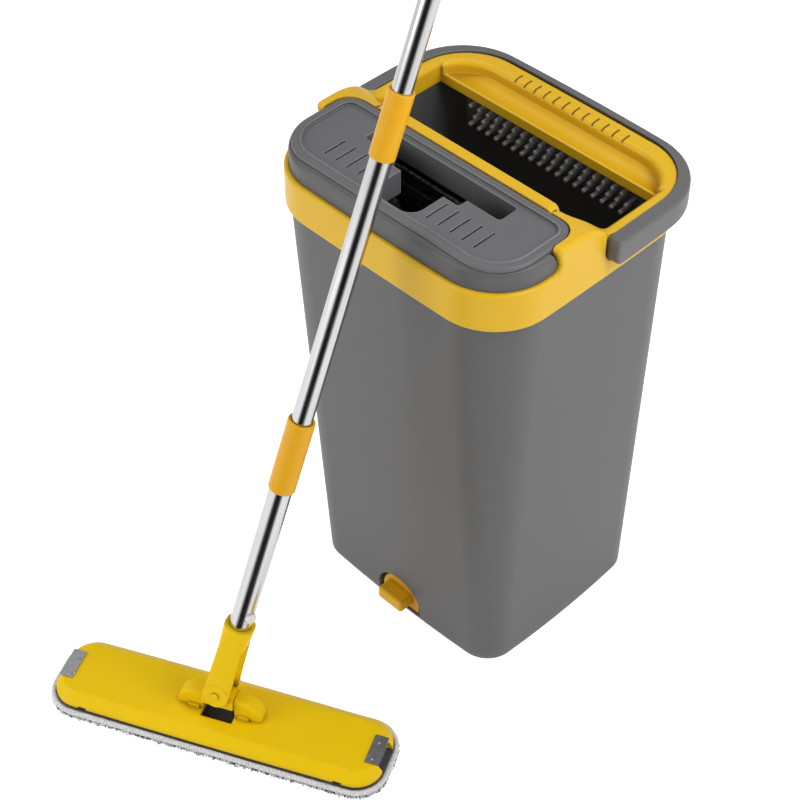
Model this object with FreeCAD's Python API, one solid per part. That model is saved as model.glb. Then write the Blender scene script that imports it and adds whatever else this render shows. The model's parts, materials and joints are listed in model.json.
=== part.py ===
import FreeCAD, Part
import math
import os

# Flat mop with a two-compartment bucket: the mop washes on a brush board behind
# the divider bar and is wrung through a slotted lid in front of it.
# Frame: millimetres, +Z up, origin at the middle of the bucket's base mount.
# X runs along the lid's front edge, +Y points from the lid to the wash side.

Vector = FreeCAD.Vector
X_AXIS = Vector(1, 0, 0)
Y_AXIS = Vector(0, 1, 0)
Z_AXIS = Vector(0, 0, 1)
ORIGIN = Vector(0, 0, 0)

# ---------------------------------------------------------------- clearances
run_gap = 0.3          # between bodies that move past each other
seat_gap = 0.2         # between seated pieces of one body
pin_gap = 0.05         # radial, running pin in its hole
margin = 1.0           # how far a cutting tool runs past what it cuts
beyond = 400.0         # half size of a tool that reaches past the whole bucket

# ---------------------------------------------------------------- tub
base_half_x = 101.0
base_half_y = 90.5
base_shift_y = 10.0    # the front leans out more than the back
base_corner = 25.0
base_bow = 4.0
tub_wall = 2.6
floor_thick = 3.5
side_bow = 1.5
rim_low = 381.0        # underside of the collar
neck_corner = 45.0
rim_round = 5.0        # of the rolled bead along the lid
bead_inset = 3.7       # from the collar's face to the bead
partition_thick = 3.2
lid_ledge_drop = 11.0
lid_ledge_width = 3.4
ledge_inset = 9.0
knee_height = 19.0     # where the neck starts to thicken towards the ledge

# ---------------------------------------------------------------- collar
collar_half_x = 118.8
collar_half_y = 108.2
collar_corner = 48.5
band_height = 31.5
ring_height = 33.0     # rim round the wash side, above the collar's underside
shoulder_height = 51.0
shoulder_front = -45.0
shoulder_lean = 4.0    # the shoulder's front edge leans over the bead
shoulder_level_end = -34.0   # from here the shoulder slopes down to the ring
slope_middle = -5.0
slope_middle_drop = 7.5
slope_back = 15.0
notch_round = 6.0      # where the band's top turns up into the shoulder
bead_end_round = 5.0
shoulder_round = 4.0
crest_round = 3.0
crest_inner_round = 4.5
ledge_height = 23.5
ledge_width = 21.5
ledge_lip = 2.0
tray_depth = 4.5
crest_side = 11.3      # crest width beside the wash opening
crest_rear = 16.5      # crest width behind it
opening_corner = 22.0
ledge_thick = 8.0
slot_count = 12
slot_pitch = 9.5
slot_width = 2.0
slot_reach = 9.5
slot_depth = 3.0

# ---------------------------------------------------------------- divider
divider_front = -20.5
divider_back = -11.5
divider_depth = 12.0
divider_wall = 2.4
divider_end_round = 6.0

# ---------------------------------------------------------------- lid
lid_inset = 8.3        # from the collar's face to the lid, at the sides
lid_front_inset = 8.7
lid_front_corner = 35.0
lid_back_corner = 16.0
lid_edge_round = 2.2
lid_thick = 2.6
border_width = 7.5
ridge_width = 1.3
ridge_height = 0.7
deck_recess = 2.2
bead_drop = 3.0        # bead top below the lid's border
slot_half_x = 65.4
slot_front = -50.6
slot_back = -32.3
step_half_x = 35.0
step_front = -59.0
stem_half_x = 20.5
stem_front = -90.0
stem_corner = 12.0
well_depth = 22.0
well_wall = 2.2
slit_count = 5
slit_first_x = 28.0
slit_pitch = 11.0
slit_front = -83.5
slit_back = -62.5
slit_width = 1.7

# ---------------------------------------------------------------- wringer
frame_top_drop = 21.0
frame_height = 26.0
frame_half_x = 78.0
frame_front = -70.0
frame_back = -24.5
frame_end_bar = 8.0
frame_front_bar = 7.0
frame_back_bar = 4.5
frame_gap_half_x = 24.0
post_radius = 3.8
post_inset_front = 6.0
post_inset_back = 14.0
lid_screw_radius = 1.5
lid_screw_head = 3.0
lip_thick = 1.6
lip_reach = 5.0
lip_drop = 9.0
scraper_depth = 5.0
scraper_height = 14.0
flap_half_x = 60.0
flap_thick = 4.0
flap_pin_radius = 1.5
flap_pin_drop = 5.2
flap_pin_bite = 4.5
flap_drop = 20.0
flap_room = 3.6        # behind the flap, for its swing
spring_wire_radius = 0.5
spring_coil_radius = 2.4
spring_turns = 6
spring_leg = 12.0
spring_offset_x = 40.0

# ---------------------------------------------------------------- brush board
board_half_x = 92.0
board_inset = 21.7     # from the collar's back face
board_thick = 3.0
board_height = 34.0
peg_rows = 3
peg_columns = 18
peg_pitch = 8.8
peg_row_pitch = 8.5
peg_radius = 1.75
peg_length = 12.5
peg_top_drop = 8.0

# ---------------------------------------------------------------- drain plug
plug_radius = 20.5
plug_axis_z = 10.0
plug_bore_z = 16.5
plug_bore_radius = 9.0
plug_flange_thick = 5.5
plug_edge_round = 1.0
plug_recess_depth = 9.5
plug_arch_gap = 3.0
plug_skin = 2.6
plug_stem_length = 9.0
pocket_web = 2.0       # foot of the tub left under the plug's pocket
grip_half_x = 13.4
grip_low = 8.5
grip_high = 20.5
grip_proud = 14.0
grip_round = 2.4
gasket_thick = 1.4

# ---------------------------------------------------------------- bucket handle
handle_thick = 11.2    # at the arms
handle_recess = 2.2    # of the collar's sides, behind the arms
handle_swing_room = 13.9   # radius of the recess round the pivot
handle_back_thick = 6.5
handle_height = 20.0
handle_low = 14.0      # above the collar's underside
handle_gap = 0.8
handle_front = 1.0
handle_pivot_y = 13.0
handle_end_round = 6.0
handle_edge_round = 2.4
handle_bow = 2.0       # extra bow of the outer face
pivot_radius = 4.0
pivot_bite = 9.5       # of the pivot pin into the collar
pivot_reach = 8.0      # of the pin into the handle's arm

# ---------------------------------------------------------------- mop head
head_turn = 26.0       # long axis of the plate from +X, seen from above
mop_x = -12.3
mop_y = -264.1
plate_length = 274.0
plate_width = 65.0
plate_corner = 22.0
plate_rim_height = 4.0
plate_bevel = 8.0
plate_bevel_height = 6.5
plate_wall = 2.6
pad_fibre_height = 6.0
pad_backing_height = 2.0
pad_overhang = 4.5
hook_height = 1.2
hook_width = 13.0
hook_length = 210.0
hook_inset = 13.0      # strip's middle line from the plate's long edge
clip_length = 27.0
clip_width = 8.0
clip_thick = 0.8
clip_leg = 6.0
clip_notch = 9.0
rivet_radius = 1.6
rivet_head = 0.8
rib_thick = 2.0
rib_count = 5

# ---------------------------------------------------------------- swivel
roll_axis_height = 14.2    # above the plate's top
pitch_axis_rise = 9.0
hump_inner = 13.2
hump_length = 22.0
hump_thick = 13.0
hump_round = 2.6
hump_rise = 5.0            # above the roll axis
nub_length = 9.0
nub_height = 4.5
nub_proud = 1.6
roll_pin_radius = 2.5
roll_pin_bite = 8.0
pitch_pin_radius = 2.5
pitch_head_radius = 3.0
pitch_head_thick = 1.0
cheek_radius = 10.6
cheek_thick = 3.6
yoke_half_u = 12.8
yoke_half_v = 9.4
lean_pitch = 11.56
lean_roll = 13.39

# ---------------------------------------------------------------- pole
lower_tube_radius = 8.6    # the middle tube slides in it
mid_tube_radius = 7.7
upper_tube_radius = 7.0
lower_tube_wall = 0.6
tube_wall = 0.5
socket_top = 66.5
socket_bottom = 50.0
cheek_gap_top = 48.0
socket_radius = 11.6
fork_half_u = 10.8
fork_waist_u = 10.0
button_at = 80.0
button_turn = -32.0    # from the plate's long axis, about the pole
button_radius = 4.4
button_proud = 2.6
button_edge_round = 1.8
button_travel = 2.8
button_body = 4.4
button_spring_thick = 0.4
spring_leaf_rise = 13.0
lower_collar_at = 201.7
lower_collar_length = 62.6
upper_collar_at = 480.3
upper_collar_length = 49.2
lower_collar_radius = 10.1
upper_collar_radius = 9.0
collar_gap = 0.2
collar_cap_height = 14.0   # of the lower collar above the lower tube
tube_overlap = 60.0
lock_length = 24.0
lock_gap = 0.2
lock_stub = 16.0
coupling_length = 44.0
pole_end_at = 1000.0
hand_grip_length = 130.0
hand_grip_radius = 11.5
cap_stem = 24.0
cap_eye_rise = 12.0
cap_ear_thick = 8.0
cap_hole_radius = 4.0

# ---------------------------------------------------------------- derived heights
collar_low = rim_low
band_top = collar_low + band_height
ring_top = collar_low + ring_height
rim_top = collar_low + shoulder_height
lid_top = rim_top
border_top = lid_top - ridge_height
bead_top = lid_top - bead_drop
deck_top = lid_top - deck_recess
deck_low = deck_top - lid_thick
ledge_top = collar_low + ledge_height
ring_skirt_low = ledge_top - ledge_thick
neck_back_top = ring_top - 9.0
neck_knee = rim_low + knee_height
opening_half_x = collar_half_x - crest_side
funnel_back = collar_half_y - crest_rear
ledge_front = funnel_back - ledge_width
board_back = collar_half_y - board_inset
lid_half_x = collar_half_x - lid_inset
lid_front = lid_front_inset - collar_half_y
neck_half_x = collar_half_x - bead_inset
neck_half_y = collar_half_y - bead_inset
partition_y = (divider_front + divider_back) / 2.0
lid_back = divider_front - run_gap
lid_seat_z = lid_top - lid_ledge_drop
pad_top = pad_fibre_height + pad_backing_height
plate_low = pad_top + hook_height
plate_shoulder = plate_low + plate_rim_height
plate_top = plate_shoulder + plate_bevel_height
hook_offset = plate_width / 2.0 - hook_inset
roll_z = plate_top + roll_axis_height
lower_bore = lower_tube_radius - lower_tube_wall
mid_bore = mid_tube_radius - tube_wall
upper_bore = upper_tube_radius - tube_wall
lower_tube_top = lower_collar_at + lower_collar_length - collar_cap_height
mid_tube_foot = lower_tube_top - tube_overlap
coupling_middle = upper_collar_at + upper_collar_length / 2.0
handle_bottom_z = collar_low + handle_low
handle_pivot_z = handle_bottom_z + handle_height / 2.0
handle_inner_x = collar_half_x - handle_recess + handle_gap


# ================================================================ helpers
def arc(start, middle, end):
    return Part.Arc(start, middle, end).toShape()


def line(start, end):
    return Part.LineSegment(start, end).toShape()


def bowed_wire(half_x, half_y, corner, bow, z, shift_y=0.0):
    """Closed wire of four gently bowed sides joined by tangent corner arcs."""
    side_r = (half_y ** 2 + bow ** 2) / (2.0 * bow)
    front_r = (half_x ** 2 + bow ** 2) / (2.0 * bow)
    cx = half_x - side_r
    cy = half_y - front_r
    # corner centre: (side_r - corner) from the side's centre, (front_r - corner) from the front's
    a = side_r - corner
    b = front_r - corner
    gap = math.hypot(cx, cy)
    along = (a * a - b * b + gap * gap) / (2.0 * gap)
    off = math.sqrt(a * a - along * along)
    ux = -cx / gap
    uy = cy / gap
    px = cx + along * ux + off * -uy
    py = along * uy + off * ux
    if px < 0 or py < 0:
        px = cx + along * ux + off * uy
        py = along * uy - off * ux
    side_x = cx + side_r * (px - cx) / a
    side_y = side_r * py / a
    front_x = front_r * px / b
    front_y = cy + front_r * (py - cy) / b
    diagonal = math.hypot(side_x - px + front_x - px, side_y - py + front_y - py)
    mid_x = px + corner * (side_x - px + front_x - px) / diagonal
    mid_y = py + corner * (side_y - py + front_y - py) / diagonal

    def at(x, y):
        return Vector(x, y + shift_y, z)

    edges = [
        arc(at(side_x, -side_y), at(half_x, 0), at(side_x, side_y)),
        arc(at(side_x, side_y), at(mid_x, mid_y), at(front_x, front_y)),
        arc(at(front_x, front_y), at(0, half_y), at(-front_x, front_y)),
        arc(at(-front_x, front_y), at(-mid_x, mid_y), at(-side_x, side_y)),
        arc(at(-side_x, side_y), at(-half_x, 0), at(-side_x, -side_y)),
        arc(at(-side_x, -side_y), at(-mid_x, -mid_y), at(-front_x, -front_y)),
        arc(at(-front_x, -front_y), at(0, -half_y), at(front_x, -front_y)),
        arc(at(front_x, -front_y), at(mid_x, -mid_y), at(side_x, -side_y)),
    ]
    return Part.Wire(edges)


def bowed_prism(half_x, half_y, corner, bow, low, high):
    face = Part.Face(bowed_wire(half_x, half_y, corner, bow, low))
    return face.extrude(Vector(0, 0, high - low))


def box(x0, x1, y0, y1, z0, z1):
    return Part.makeBox(x1 - x0, y1 - y0, z1 - z0, Vector(x0, y0, z0))


def rod(radius, start, end):
    axis = end - start
    return Part.makeCylinder(radius, axis.Length, start, axis)


def tube(outer, inner, start, end):
    step = (end - start).normalize() * margin
    return rod(outer, start, end).cut(rod(inner, start - step, end + step))


def prism(points, low, high):
    corners = [Vector(x, y, low) for x, y in points]
    return Part.Face(Part.makePolygon(corners + corners[:1])).extrude(Vector(0, 0, high - low))


def rounded_prism(points, radii, low, high):
    """Prism over a polygon whose upright edges are rounded, one radius per corner."""
    solid = prism(points, low, high)
    for (x, y), radius in zip(points, radii):
        if radius > 0:
            edges = [e for e in solid.Edges if is_upright_at(e, x, y)]
            solid = solid.makeFillet(radius, edges)
    return solid


def is_upright_at(edge, x, y):
    start = edge.Vertexes[0].Point
    end = edge.Vertexes[-1].Point
    near = math.hypot(start.x - x, start.y - y) < 1e-4 and math.hypot(end.x - x, end.y - y) < 1e-4
    return near and abs(start.z - end.z) > 1e-4


def mirror_x(shape):
    return shape.mirror(ORIGIN, X_AXIS)


def export(name, *shapes):
    solids = []
    for shape in shapes:
        solids.extend(shape.Solids)
    result = solids[0] if len(solids) == 1 else Part.makeCompound(solids)
    result.exportStep("parts/" + name + ".step")


# ================================================================ bucket
def tub_loft(inset):
    """Solid body of the tapered tub, its faces moved in by inset."""
    low = bowed_wire(base_half_x - inset, base_half_y - inset, base_corner - inset,
                     base_bow, 0.0, base_shift_y)
    high = bowed_wire(neck_half_x - inset, neck_half_y - inset, neck_corner - inset,
                      side_bow, rim_low)
    return Part.makeLoft([low, high], True, True)


def neck_prism(inset, low, high):
    return bowed_prism(neck_half_x - inset, neck_half_y - inset, neck_corner - inset, side_bow, low, high)


def sweep_across(edges):
    """Solid that carries a closed side view right across the bucket."""
    face = Part.Face(Part.Wire(edges))
    return face.extrude(Vector(2.0 * beyond, 0, 0)).translate(Vector(-beyond, 0, 0))


def in_profile(y, z):
    return Vector(0, y, z)


def bead_end_cutter(gap):
    """Everything behind the bead's rounded front ends, moved forward by gap."""
    foot = shoulder_front - gap
    head = foot - shoulder_lean
    top = bead_top + gap
    centre_y = head - bead_end_round
    centre_z = top - bead_end_round
    diagonal = bead_end_round * math.sqrt(0.5)
    return sweep_across([
        line(in_profile(foot, band_top - margin), in_profile(foot, band_top + notch_round)),
        line(in_profile(foot, band_top + notch_round), in_profile(head, centre_z)),
        arc(in_profile(head, centre_z), in_profile(centre_y + diagonal, centre_z + diagonal), in_profile(centre_y, top)),
        line(in_profile(centre_y, top), in_profile(centre_y, rim_top + margin)),
        line(in_profile(centre_y, rim_top + margin), in_profile(beyond, rim_top + margin)),
        line(in_profile(beyond, rim_top + margin), in_profile(beyond, band_top - margin)),
        line(in_profile(beyond, band_top - margin), in_profile(foot, band_top - margin)),
    ])


def lid_outline(gap, low, high):
    """Prism over the lid's outline, grown by gap."""
    x = lid_half_x + gap
    y0 = lid_front - gap
    y1 = lid_back + gap
    points = [(-x, y0), (x, y0), (x, y1), (-x, y1)]
    radii = [lid_front_corner + gap, lid_front_corner + gap, lid_back_corner + gap, lid_back_corner + gap]
    return rounded_prism(points, radii, low, high)


def make_rim():
    """Neck inside the collar: rolled bead along the lid, ledge below it, low wall behind."""
    rim = neck_prism(0.0, rim_low, bead_top)
    rim = rim.makeFillet(rim_round, [e for e in rim.Edges if e.BoundBox.ZMin > bead_top - 1e-3])
    rim = rim.cut(bead_end_cutter(0.0))
    rim = rim.cut(across(divider_front - 1.5, beyond, neck_back_top, rim_top + margin))
    rim = rim.cut(neck_prism(tub_wall, rim_low - margin, neck_knee))
    taper = Part.makeLoft([
        bowed_wire(neck_half_x - tub_wall, neck_half_y - tub_wall, neck_corner - tub_wall, side_bow, neck_knee),
        bowed_wire(neck_half_x - ledge_inset, neck_half_y - ledge_inset, neck_corner - ledge_inset,
                   side_bow, lid_seat_z - 3.0),
    ], True, True)
    rim = rim.cut(taper)
    rim = rim.cut(lid_outline(-lid_ledge_width, lid_seat_z - 4.0, lid_seat_z + margin))
    rim = rim.cut(lid_outline(seat_gap + 0.1, lid_seat_z, bead_top + margin))
    back = across(divider_front - 1.5, beyond, neck_knee - margin, rim_top)
    return rim.cut(neck_prism(tub_wall, neck_knee - margin, neck_back_top + margin).common(back))


def across(y0, y1, z0, z1):
    """Block right across the bucket."""
    return box(-beyond, beyond, y0, y1, z0, z1)


def make_tub():
    hollow = tub_loft(tub_wall).cut(across(-beyond, beyond, -margin, floor_thick))
    body = make_rim().fuse(tub_loft(0.0).cut(hollow))
    # partition between the wringing side and the wash side
    front = partition_y - partition_thick / 2.0
    back = partition_y + partition_thick / 2.0
    low_wall = tub_loft(tub_wall - 0.6).common(across(front, back, floor_thick, rim_low))
    high_wall = neck_prism(tub_wall - 0.6, rim_low, neck_back_top).common(across(front, back, rim_low, neck_back_top))
    tongue_half_x = opening_half_x - opening_corner - 1.0
    tongue = box(-tongue_half_x, tongue_half_x, front, back, neck_back_top, rim_top - divider_wall - seat_gap)
    body = body.fuse([low_wall, high_wall, tongue])
    # drain: arched pocket at the foot of the front face, with the outlet bore behind it
    pocket_back = plug_pocket_y()
    skin = plug_arch(plug_arch_gap + plug_skin, 0.0, -beyond, pocket_back + plug_skin)
    body = body.fuse(skin.common(tub_loft(tub_wall / 2)))
    body = body.cut(plug_arch(plug_arch_gap, pocket_web, -beyond, pocket_back))
    bore = rod(plug_bore_radius + seat_gap + gasket_thick, Vector(0, pocket_back - margin, plug_bore_z),
               Vector(0, pocket_back + plug_skin + 3, plug_bore_z))
    body = body.cut(bore)
    for end in (-1, 1):
        body = body.cut(pivot_hole(end))
    return body.removeSplitter()


def pivot_hole(end):
    inner_x = collar_half_x - pivot_bite - seat_gap
    return rod(pivot_radius + seat_gap, Vector(end * inner_x, handle_pivot_y, handle_pivot_z),
               Vector(end * (collar_half_x + side_bow + margin), handle_pivot_y, handle_pivot_z))


def front_face_y(z):
    share = z / rim_low
    low = base_shift_y - base_half_y
    return low + (-neck_half_y - low) * share


def plug_pocket_y():
    return front_face_y(plug_bore_z) + plug_recess_depth


def plug_arch(grow, low, y0, y1):
    """D-shaped arch round the plug, standing at the height low."""
    radius = plug_radius + grow
    disc = rod(radius, Vector(0, y0, plug_axis_z), Vector(0, y1, plug_axis_z))
    legs = box(-radius, radius, y0, y1, low, plug_axis_z)
    return disc.fuse(legs).common(box(-radius, radius, y0, y1, low, plug_axis_z + radius)).removeSplitter()


def collar_profile():
    """Side view of the collar's top, swept across it: shoulders in front, low rim behind."""
    slope = Part.BSplineCurve()
    slope.interpolate(Points=[in_profile(shoulder_level_end, rim_top), in_profile(slope_middle, rim_top - slope_middle_drop),
                              in_profile(slope_back, ring_top)], InitialTangent=Y_AXIS, FinalTangent=Y_AXIS)
    head = shoulder_front - shoulder_lean
    body = sweep_across([
        line(in_profile(-beyond, collar_low - margin), in_profile(-beyond, band_top)),
        line(in_profile(-beyond, band_top), in_profile(shoulder_front, band_top)),
        line(in_profile(shoulder_front, band_top), in_profile(head, rim_top)),
        line(in_profile(head, rim_top), in_profile(shoulder_level_end, rim_top)),
        slope.toShape(),
        line(in_profile(slope_back, ring_top), in_profile(beyond, ring_top)),
        line(in_profile(beyond, ring_top), in_profile(beyond, collar_low - margin)),
        line(in_profile(beyond, collar_low - margin), in_profile(-beyond, collar_low - margin)),
    ])
    body = body.makeFillet(notch_round, cross_edges(body, shoulder_front, band_top))
    return body.makeFillet(shoulder_round, cross_edges(body, head, rim_top))


def cross_edges(body, y, z):
    """Edges that run along X through the point y, z."""
    return [e for e in body.Edges if math.hypot(e.CenterOfMass.y - y, e.CenterOfMass.z - z) < 1e-3]


def opening_prism(half_x, back, corner, low, high):
    points = [(-half_x, divider_back), (half_x, divider_back), (half_x, back), (-half_x, back)]
    return rounded_prism(points, [opening_corner, opening_corner, corner, corner], low, high)


def make_collar():
    outer = bowed_prism(collar_half_x, collar_half_y, collar_corner, side_bow, collar_low, rim_top)
    ring = outer.common(collar_profile())
    ring = ring.makeFillet(crest_round, [e for e in ring.Edges if is_crest_edge(e)])
    ring = ring.cut(handle_room())
    ring = ring.cut(neck_clearance())
    # room for the lid and the bead's ends
    ring = ring.cut(lid_outline(run_gap + 0.2, collar_low - margin, rim_top + margin))
    bead_zone = neck_prism(-seat_gap, collar_low, bead_top + seat_gap).cut(bead_end_cutter(-seat_gap))
    bead_zone = bead_zone.common(across(-beyond, shoulder_front + 6.0, collar_low - margin, rim_top))
    ring = ring.cut(bead_zone)
    # wash opening: straight throat, wider above the ledge
    throat = opening_prism(opening_half_x, ledge_front, opening_corner, collar_low - margin, rim_top + margin)
    square_back = box(-opening_half_x, opening_half_x, partition_y + opening_corner + 10.0, ledge_front,
                      collar_low - margin, rim_top + margin)
    ring = ring.cut(throat.fuse(square_back).removeSplitter())
    funnel = opening_prism(opening_half_x, funnel_back, collar_corner - 13.0, ledge_top, rim_top + margin)
    ring = ring.cut(funnel)
    inner_edges = [e for e in ring.Edges if is_funnel_edge(e)]
    ring = ring.makeFillet(crest_inner_round, inner_edges)
    divider_half_x = opening_half_x - opening_corner
    ring = ring.cut(box(-divider_half_x, divider_half_x, divider_front - margin, divider_back + margin,
                        collar_low - margin, rim_top + margin))
    ring = ring.cut(soap_bowl())
    # finger-grip slots over the crest
    first = -(slot_count - 1) / 2.0 * slot_pitch
    for index in range(slot_count):
        x = first + index * slot_pitch
        ring = ring.cut(box(x - slot_width / 2, x + slot_width / 2, funnel_back - margin, funnel_back + slot_reach,
                            ring_top - slot_depth, ring_top + margin))
    for end in (-1, 1):
        ring = ring.cut(pivot_hole(end))
    return ring


def handle_room():
    """Shallow recess in the collar's sides for the handle's arms, rounded about their pivots."""
    skin = bowed_prism(collar_half_x + margin, collar_half_y + margin, collar_corner, side_bow,
                       handle_bottom_z - margin - handle_height, rim_top + margin)
    skin = skin.cut(bowed_prism(collar_half_x - handle_recess, collar_half_y + handle_gap / 2.0,
                                collar_corner, side_bow, handle_bottom_z - 2.0 * handle_height, rim_top + 2.0 * margin))
    disc = rod(handle_swing_room, Vector(-beyond, handle_pivot_y, handle_pivot_z),
               Vector(beyond, handle_pivot_y, handle_pivot_z))
    above = across(handle_pivot_y - handle_swing_room, beyond, handle_pivot_z, rim_top + margin)
    behind = across(handle_pivot_y, beyond, handle_bottom_z - handle_gap, rim_top + margin)
    return skin.common(disc.fuse([above, behind]).removeSplitter())


def is_crest_edge(edge):
    """Outer top edges of the shoulders, their slopes and the ring behind them."""
    middle = edge.CenterOfMass
    runs_across = edge.BoundBox.YLength < 1e-3
    at_back = middle.y > collar_half_y - 12.0
    at_side = abs(middle.x) > collar_half_x - 16.0 and not runs_across
    return edge.BoundBox.ZMin > ring_top - 1e-3 and middle.y > shoulder_front and (at_back or at_side)


def is_funnel_edge(edge):
    """Inner edge of the level crest, and its rise over the shoulders' slopes."""
    middle = edge.CenterOfMass
    inside = abs(middle.x) < opening_half_x + 0.5 and middle.y < funnel_back + 0.5
    level = edge.BoundBox.ZMin > ring_top - 1e-3 and edge.BoundBox.ZMax < ring_top + 1e-3
    return inside and level and middle.y > slope_back


def neck_clearance():
    """Room for the tub's neck: open in front, a groove closed by a roof behind."""
    roof = neck_back_top + seat_gap
    groove_front = divider_front - 1.5 + seat_gap
    side_roof = band_top - margin + seat_gap
    hole = neck_prism(-seat_gap, collar_low - margin, rim_top)
    front = hole.common(across(-beyond, shoulder_front, collar_low - margin, band_top + margin))
    middle = hole.common(across(shoulder_front - margin, groove_front, collar_low - margin, side_roof))
    groove = hole.common(across(groove_front, beyond, collar_low - margin, roof))
    groove = groove.cut(neck_prism(tub_wall + seat_gap, ring_skirt_low, roof + margin))
    slot_half = partition_thick / 2.0 + seat_gap
    slot = box(-neck_half_x, neck_half_x, partition_y - slot_half, partition_y + slot_half,
               collar_low - margin, roof)
    return front.fuse([middle, groove, slot])


def soap_bowl():
    """Shallow bowl along the ledge, from the lip to the ring's wall."""
    front = ledge_front + ledge_lip
    half = (funnel_back - front) / 2.0
    radius = (half ** 2 + tray_depth ** 2) / (2.0 * tray_depth)
    middle_y = front + half
    middle_z = ledge_top + radius - tray_depth
    hollow = rod(radius, Vector(-opening_half_x, middle_y, middle_z), Vector(opening_half_x, middle_y, middle_z))
    plan = opening_prism(opening_half_x - seat_gap, funnel_back - seat_gap, collar_corner - 13.0 - seat_gap,
                         ledge_top - tray_depth - margin, ledge_top + margin)
    return hollow.common(plan)


def make_divider():
    half_x = opening_half_x - opening_corner - seat_gap
    bar = box(-half_x, half_x, divider_front, divider_back, rim_top - divider_depth, rim_top)
    ends = [e for e in bar.Edges if e.BoundBox.ZMin > rim_top - 1e-3 and e.BoundBox.XLength < 1e-3]
    bar = bar.makeFillet(divider_end_round, ends)
    rims = [e for e in bar.Edges if e.BoundBox.ZMax > rim_top - 1e-3 and e.BoundBox.YLength < 1e-3]
    bar = bar.makeFillet(1.2, rims)
    slot_half = partition_thick / 2.0 + seat_gap
    return bar.cut(box(-half_x - 1, half_x + 1, partition_y - slot_half, partition_y + slot_half,
                       rim_top - divider_depth - 1, rim_top - divider_wall))


def make_brush_board():
    high = ring_skirt_low
    low = high - board_height
    board = box(-board_half_x, board_half_x, board_back - board_thick, board_back, low, high)
    return board.makeFillet(1.0, [e for e in board.Edges if e.BoundBox.XLength > board_half_x])


def make_brush_pegs():
    pegs = []
    face_y = board_back - board_thick
    for row in range(peg_rows):
        z = ring_skirt_low - peg_top_drop - row * peg_row_pitch
        stagger = peg_pitch / 2.0 if row % 2 else 0.0
        first = -(peg_columns - 1) / 2.0 * peg_pitch + stagger - peg_pitch / 4.0
        for column in range(peg_columns):
            x = first + column * peg_pitch
            peg = rod(peg_radius, Vector(x, face_y, z), Vector(x, face_y - peg_length, z))
            tips = [e for e in peg.Edges if e.BoundBox.YMax < face_y - peg_length + 1e-3]
            pegs.append(peg.makeFillet(0.7, tips))
    return pegs


def make_handle():
    high = handle_bottom_z + handle_height
    outer = bowed_prism(handle_inner_x + handle_thick, collar_half_y + handle_gap + handle_back_thick,
                        collar_corner + handle_gap + handle_back_thick, side_bow + handle_bow,
                        handle_bottom_z, high)
    inner = bowed_prism(handle_inner_x, collar_half_y + handle_gap, collar_corner + handle_gap, side_bow,
                        handle_bottom_z - margin, high + margin)
    keep = across(handle_front, beyond, handle_bottom_z, high)
    ends = [e for e in keep.Edges if e.BoundBox.YMax < handle_front + 1e-3 and e.BoundBox.XLength > 1]
    strap = outer.common(keep.makeFillet(handle_end_round, ends))
    skin = Part.makeCompound([f for f in outer.Faces if f.BoundBox.ZLength > handle_height / 2.0])
    strap = strap.makeFillet(handle_edge_round, [e for e in strap.Edges if lies_on(e, skin)])
    strap = strap.cut(inner)
    for end in (-1, 1):
        strap = strap.cut(rod(pivot_radius + pin_gap,
                              Vector(end * (collar_half_x - pivot_bite), handle_pivot_y, handle_pivot_z),
                              Vector(end * (handle_inner_x + pivot_reach), handle_pivot_y, handle_pivot_z)))
    return strap


def lies_on(edge, skin):
    """Whether an edge's middle lies on the given faces."""
    middle = edge.valueAt((edge.FirstParameter + edge.LastParameter) / 2.0)
    return Part.Vertex(middle).distToShape(skin)[0] < 1e-4


def make_handle_pivots():
    """Pins pressed into the collar, which the handle's arms snap over."""
    inner_x = collar_half_x - pivot_bite
    outer_x = handle_inner_x + pivot_reach - run_gap
    return [rod(pivot_radius, Vector(end * inner_x, handle_pivot_y, handle_pivot_z),
                Vector(end * outer_x, handle_pivot_y, handle_pivot_z)) for end in (-1, 1)]


# ================================================================ lid and wringer
def t_opening(grow, low, high):
    """The slot and its stem, seen from above, grown by grow."""
    slot = rounded_prism(rectangle(-slot_half_x - grow, slot_half_x + grow, slot_front - grow, slot_back + grow),
                         [3.0 + grow] * 4, low, high)
    step = rounded_prism(rectangle(-step_half_x - grow, step_half_x + grow, step_front - grow, slot_back),
                         [3.0 + grow, 3.0 + grow, 0, 0], low, high)
    stem = rounded_prism(rectangle(-stem_half_x - grow, stem_half_x + grow, stem_front - grow, slot_back),
                         [stem_corner + grow, stem_corner + grow, 0, 0], low, high)
    return slot.fuse([step, stem]).removeSplitter()


def rectangle(x0, x1, y0, y1):
    return [(x0, y0), (x1, y0), (x1, y1), (x0, y1)]


def frame_level():
    high = lid_top - frame_top_drop
    return high - frame_height, high


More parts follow.
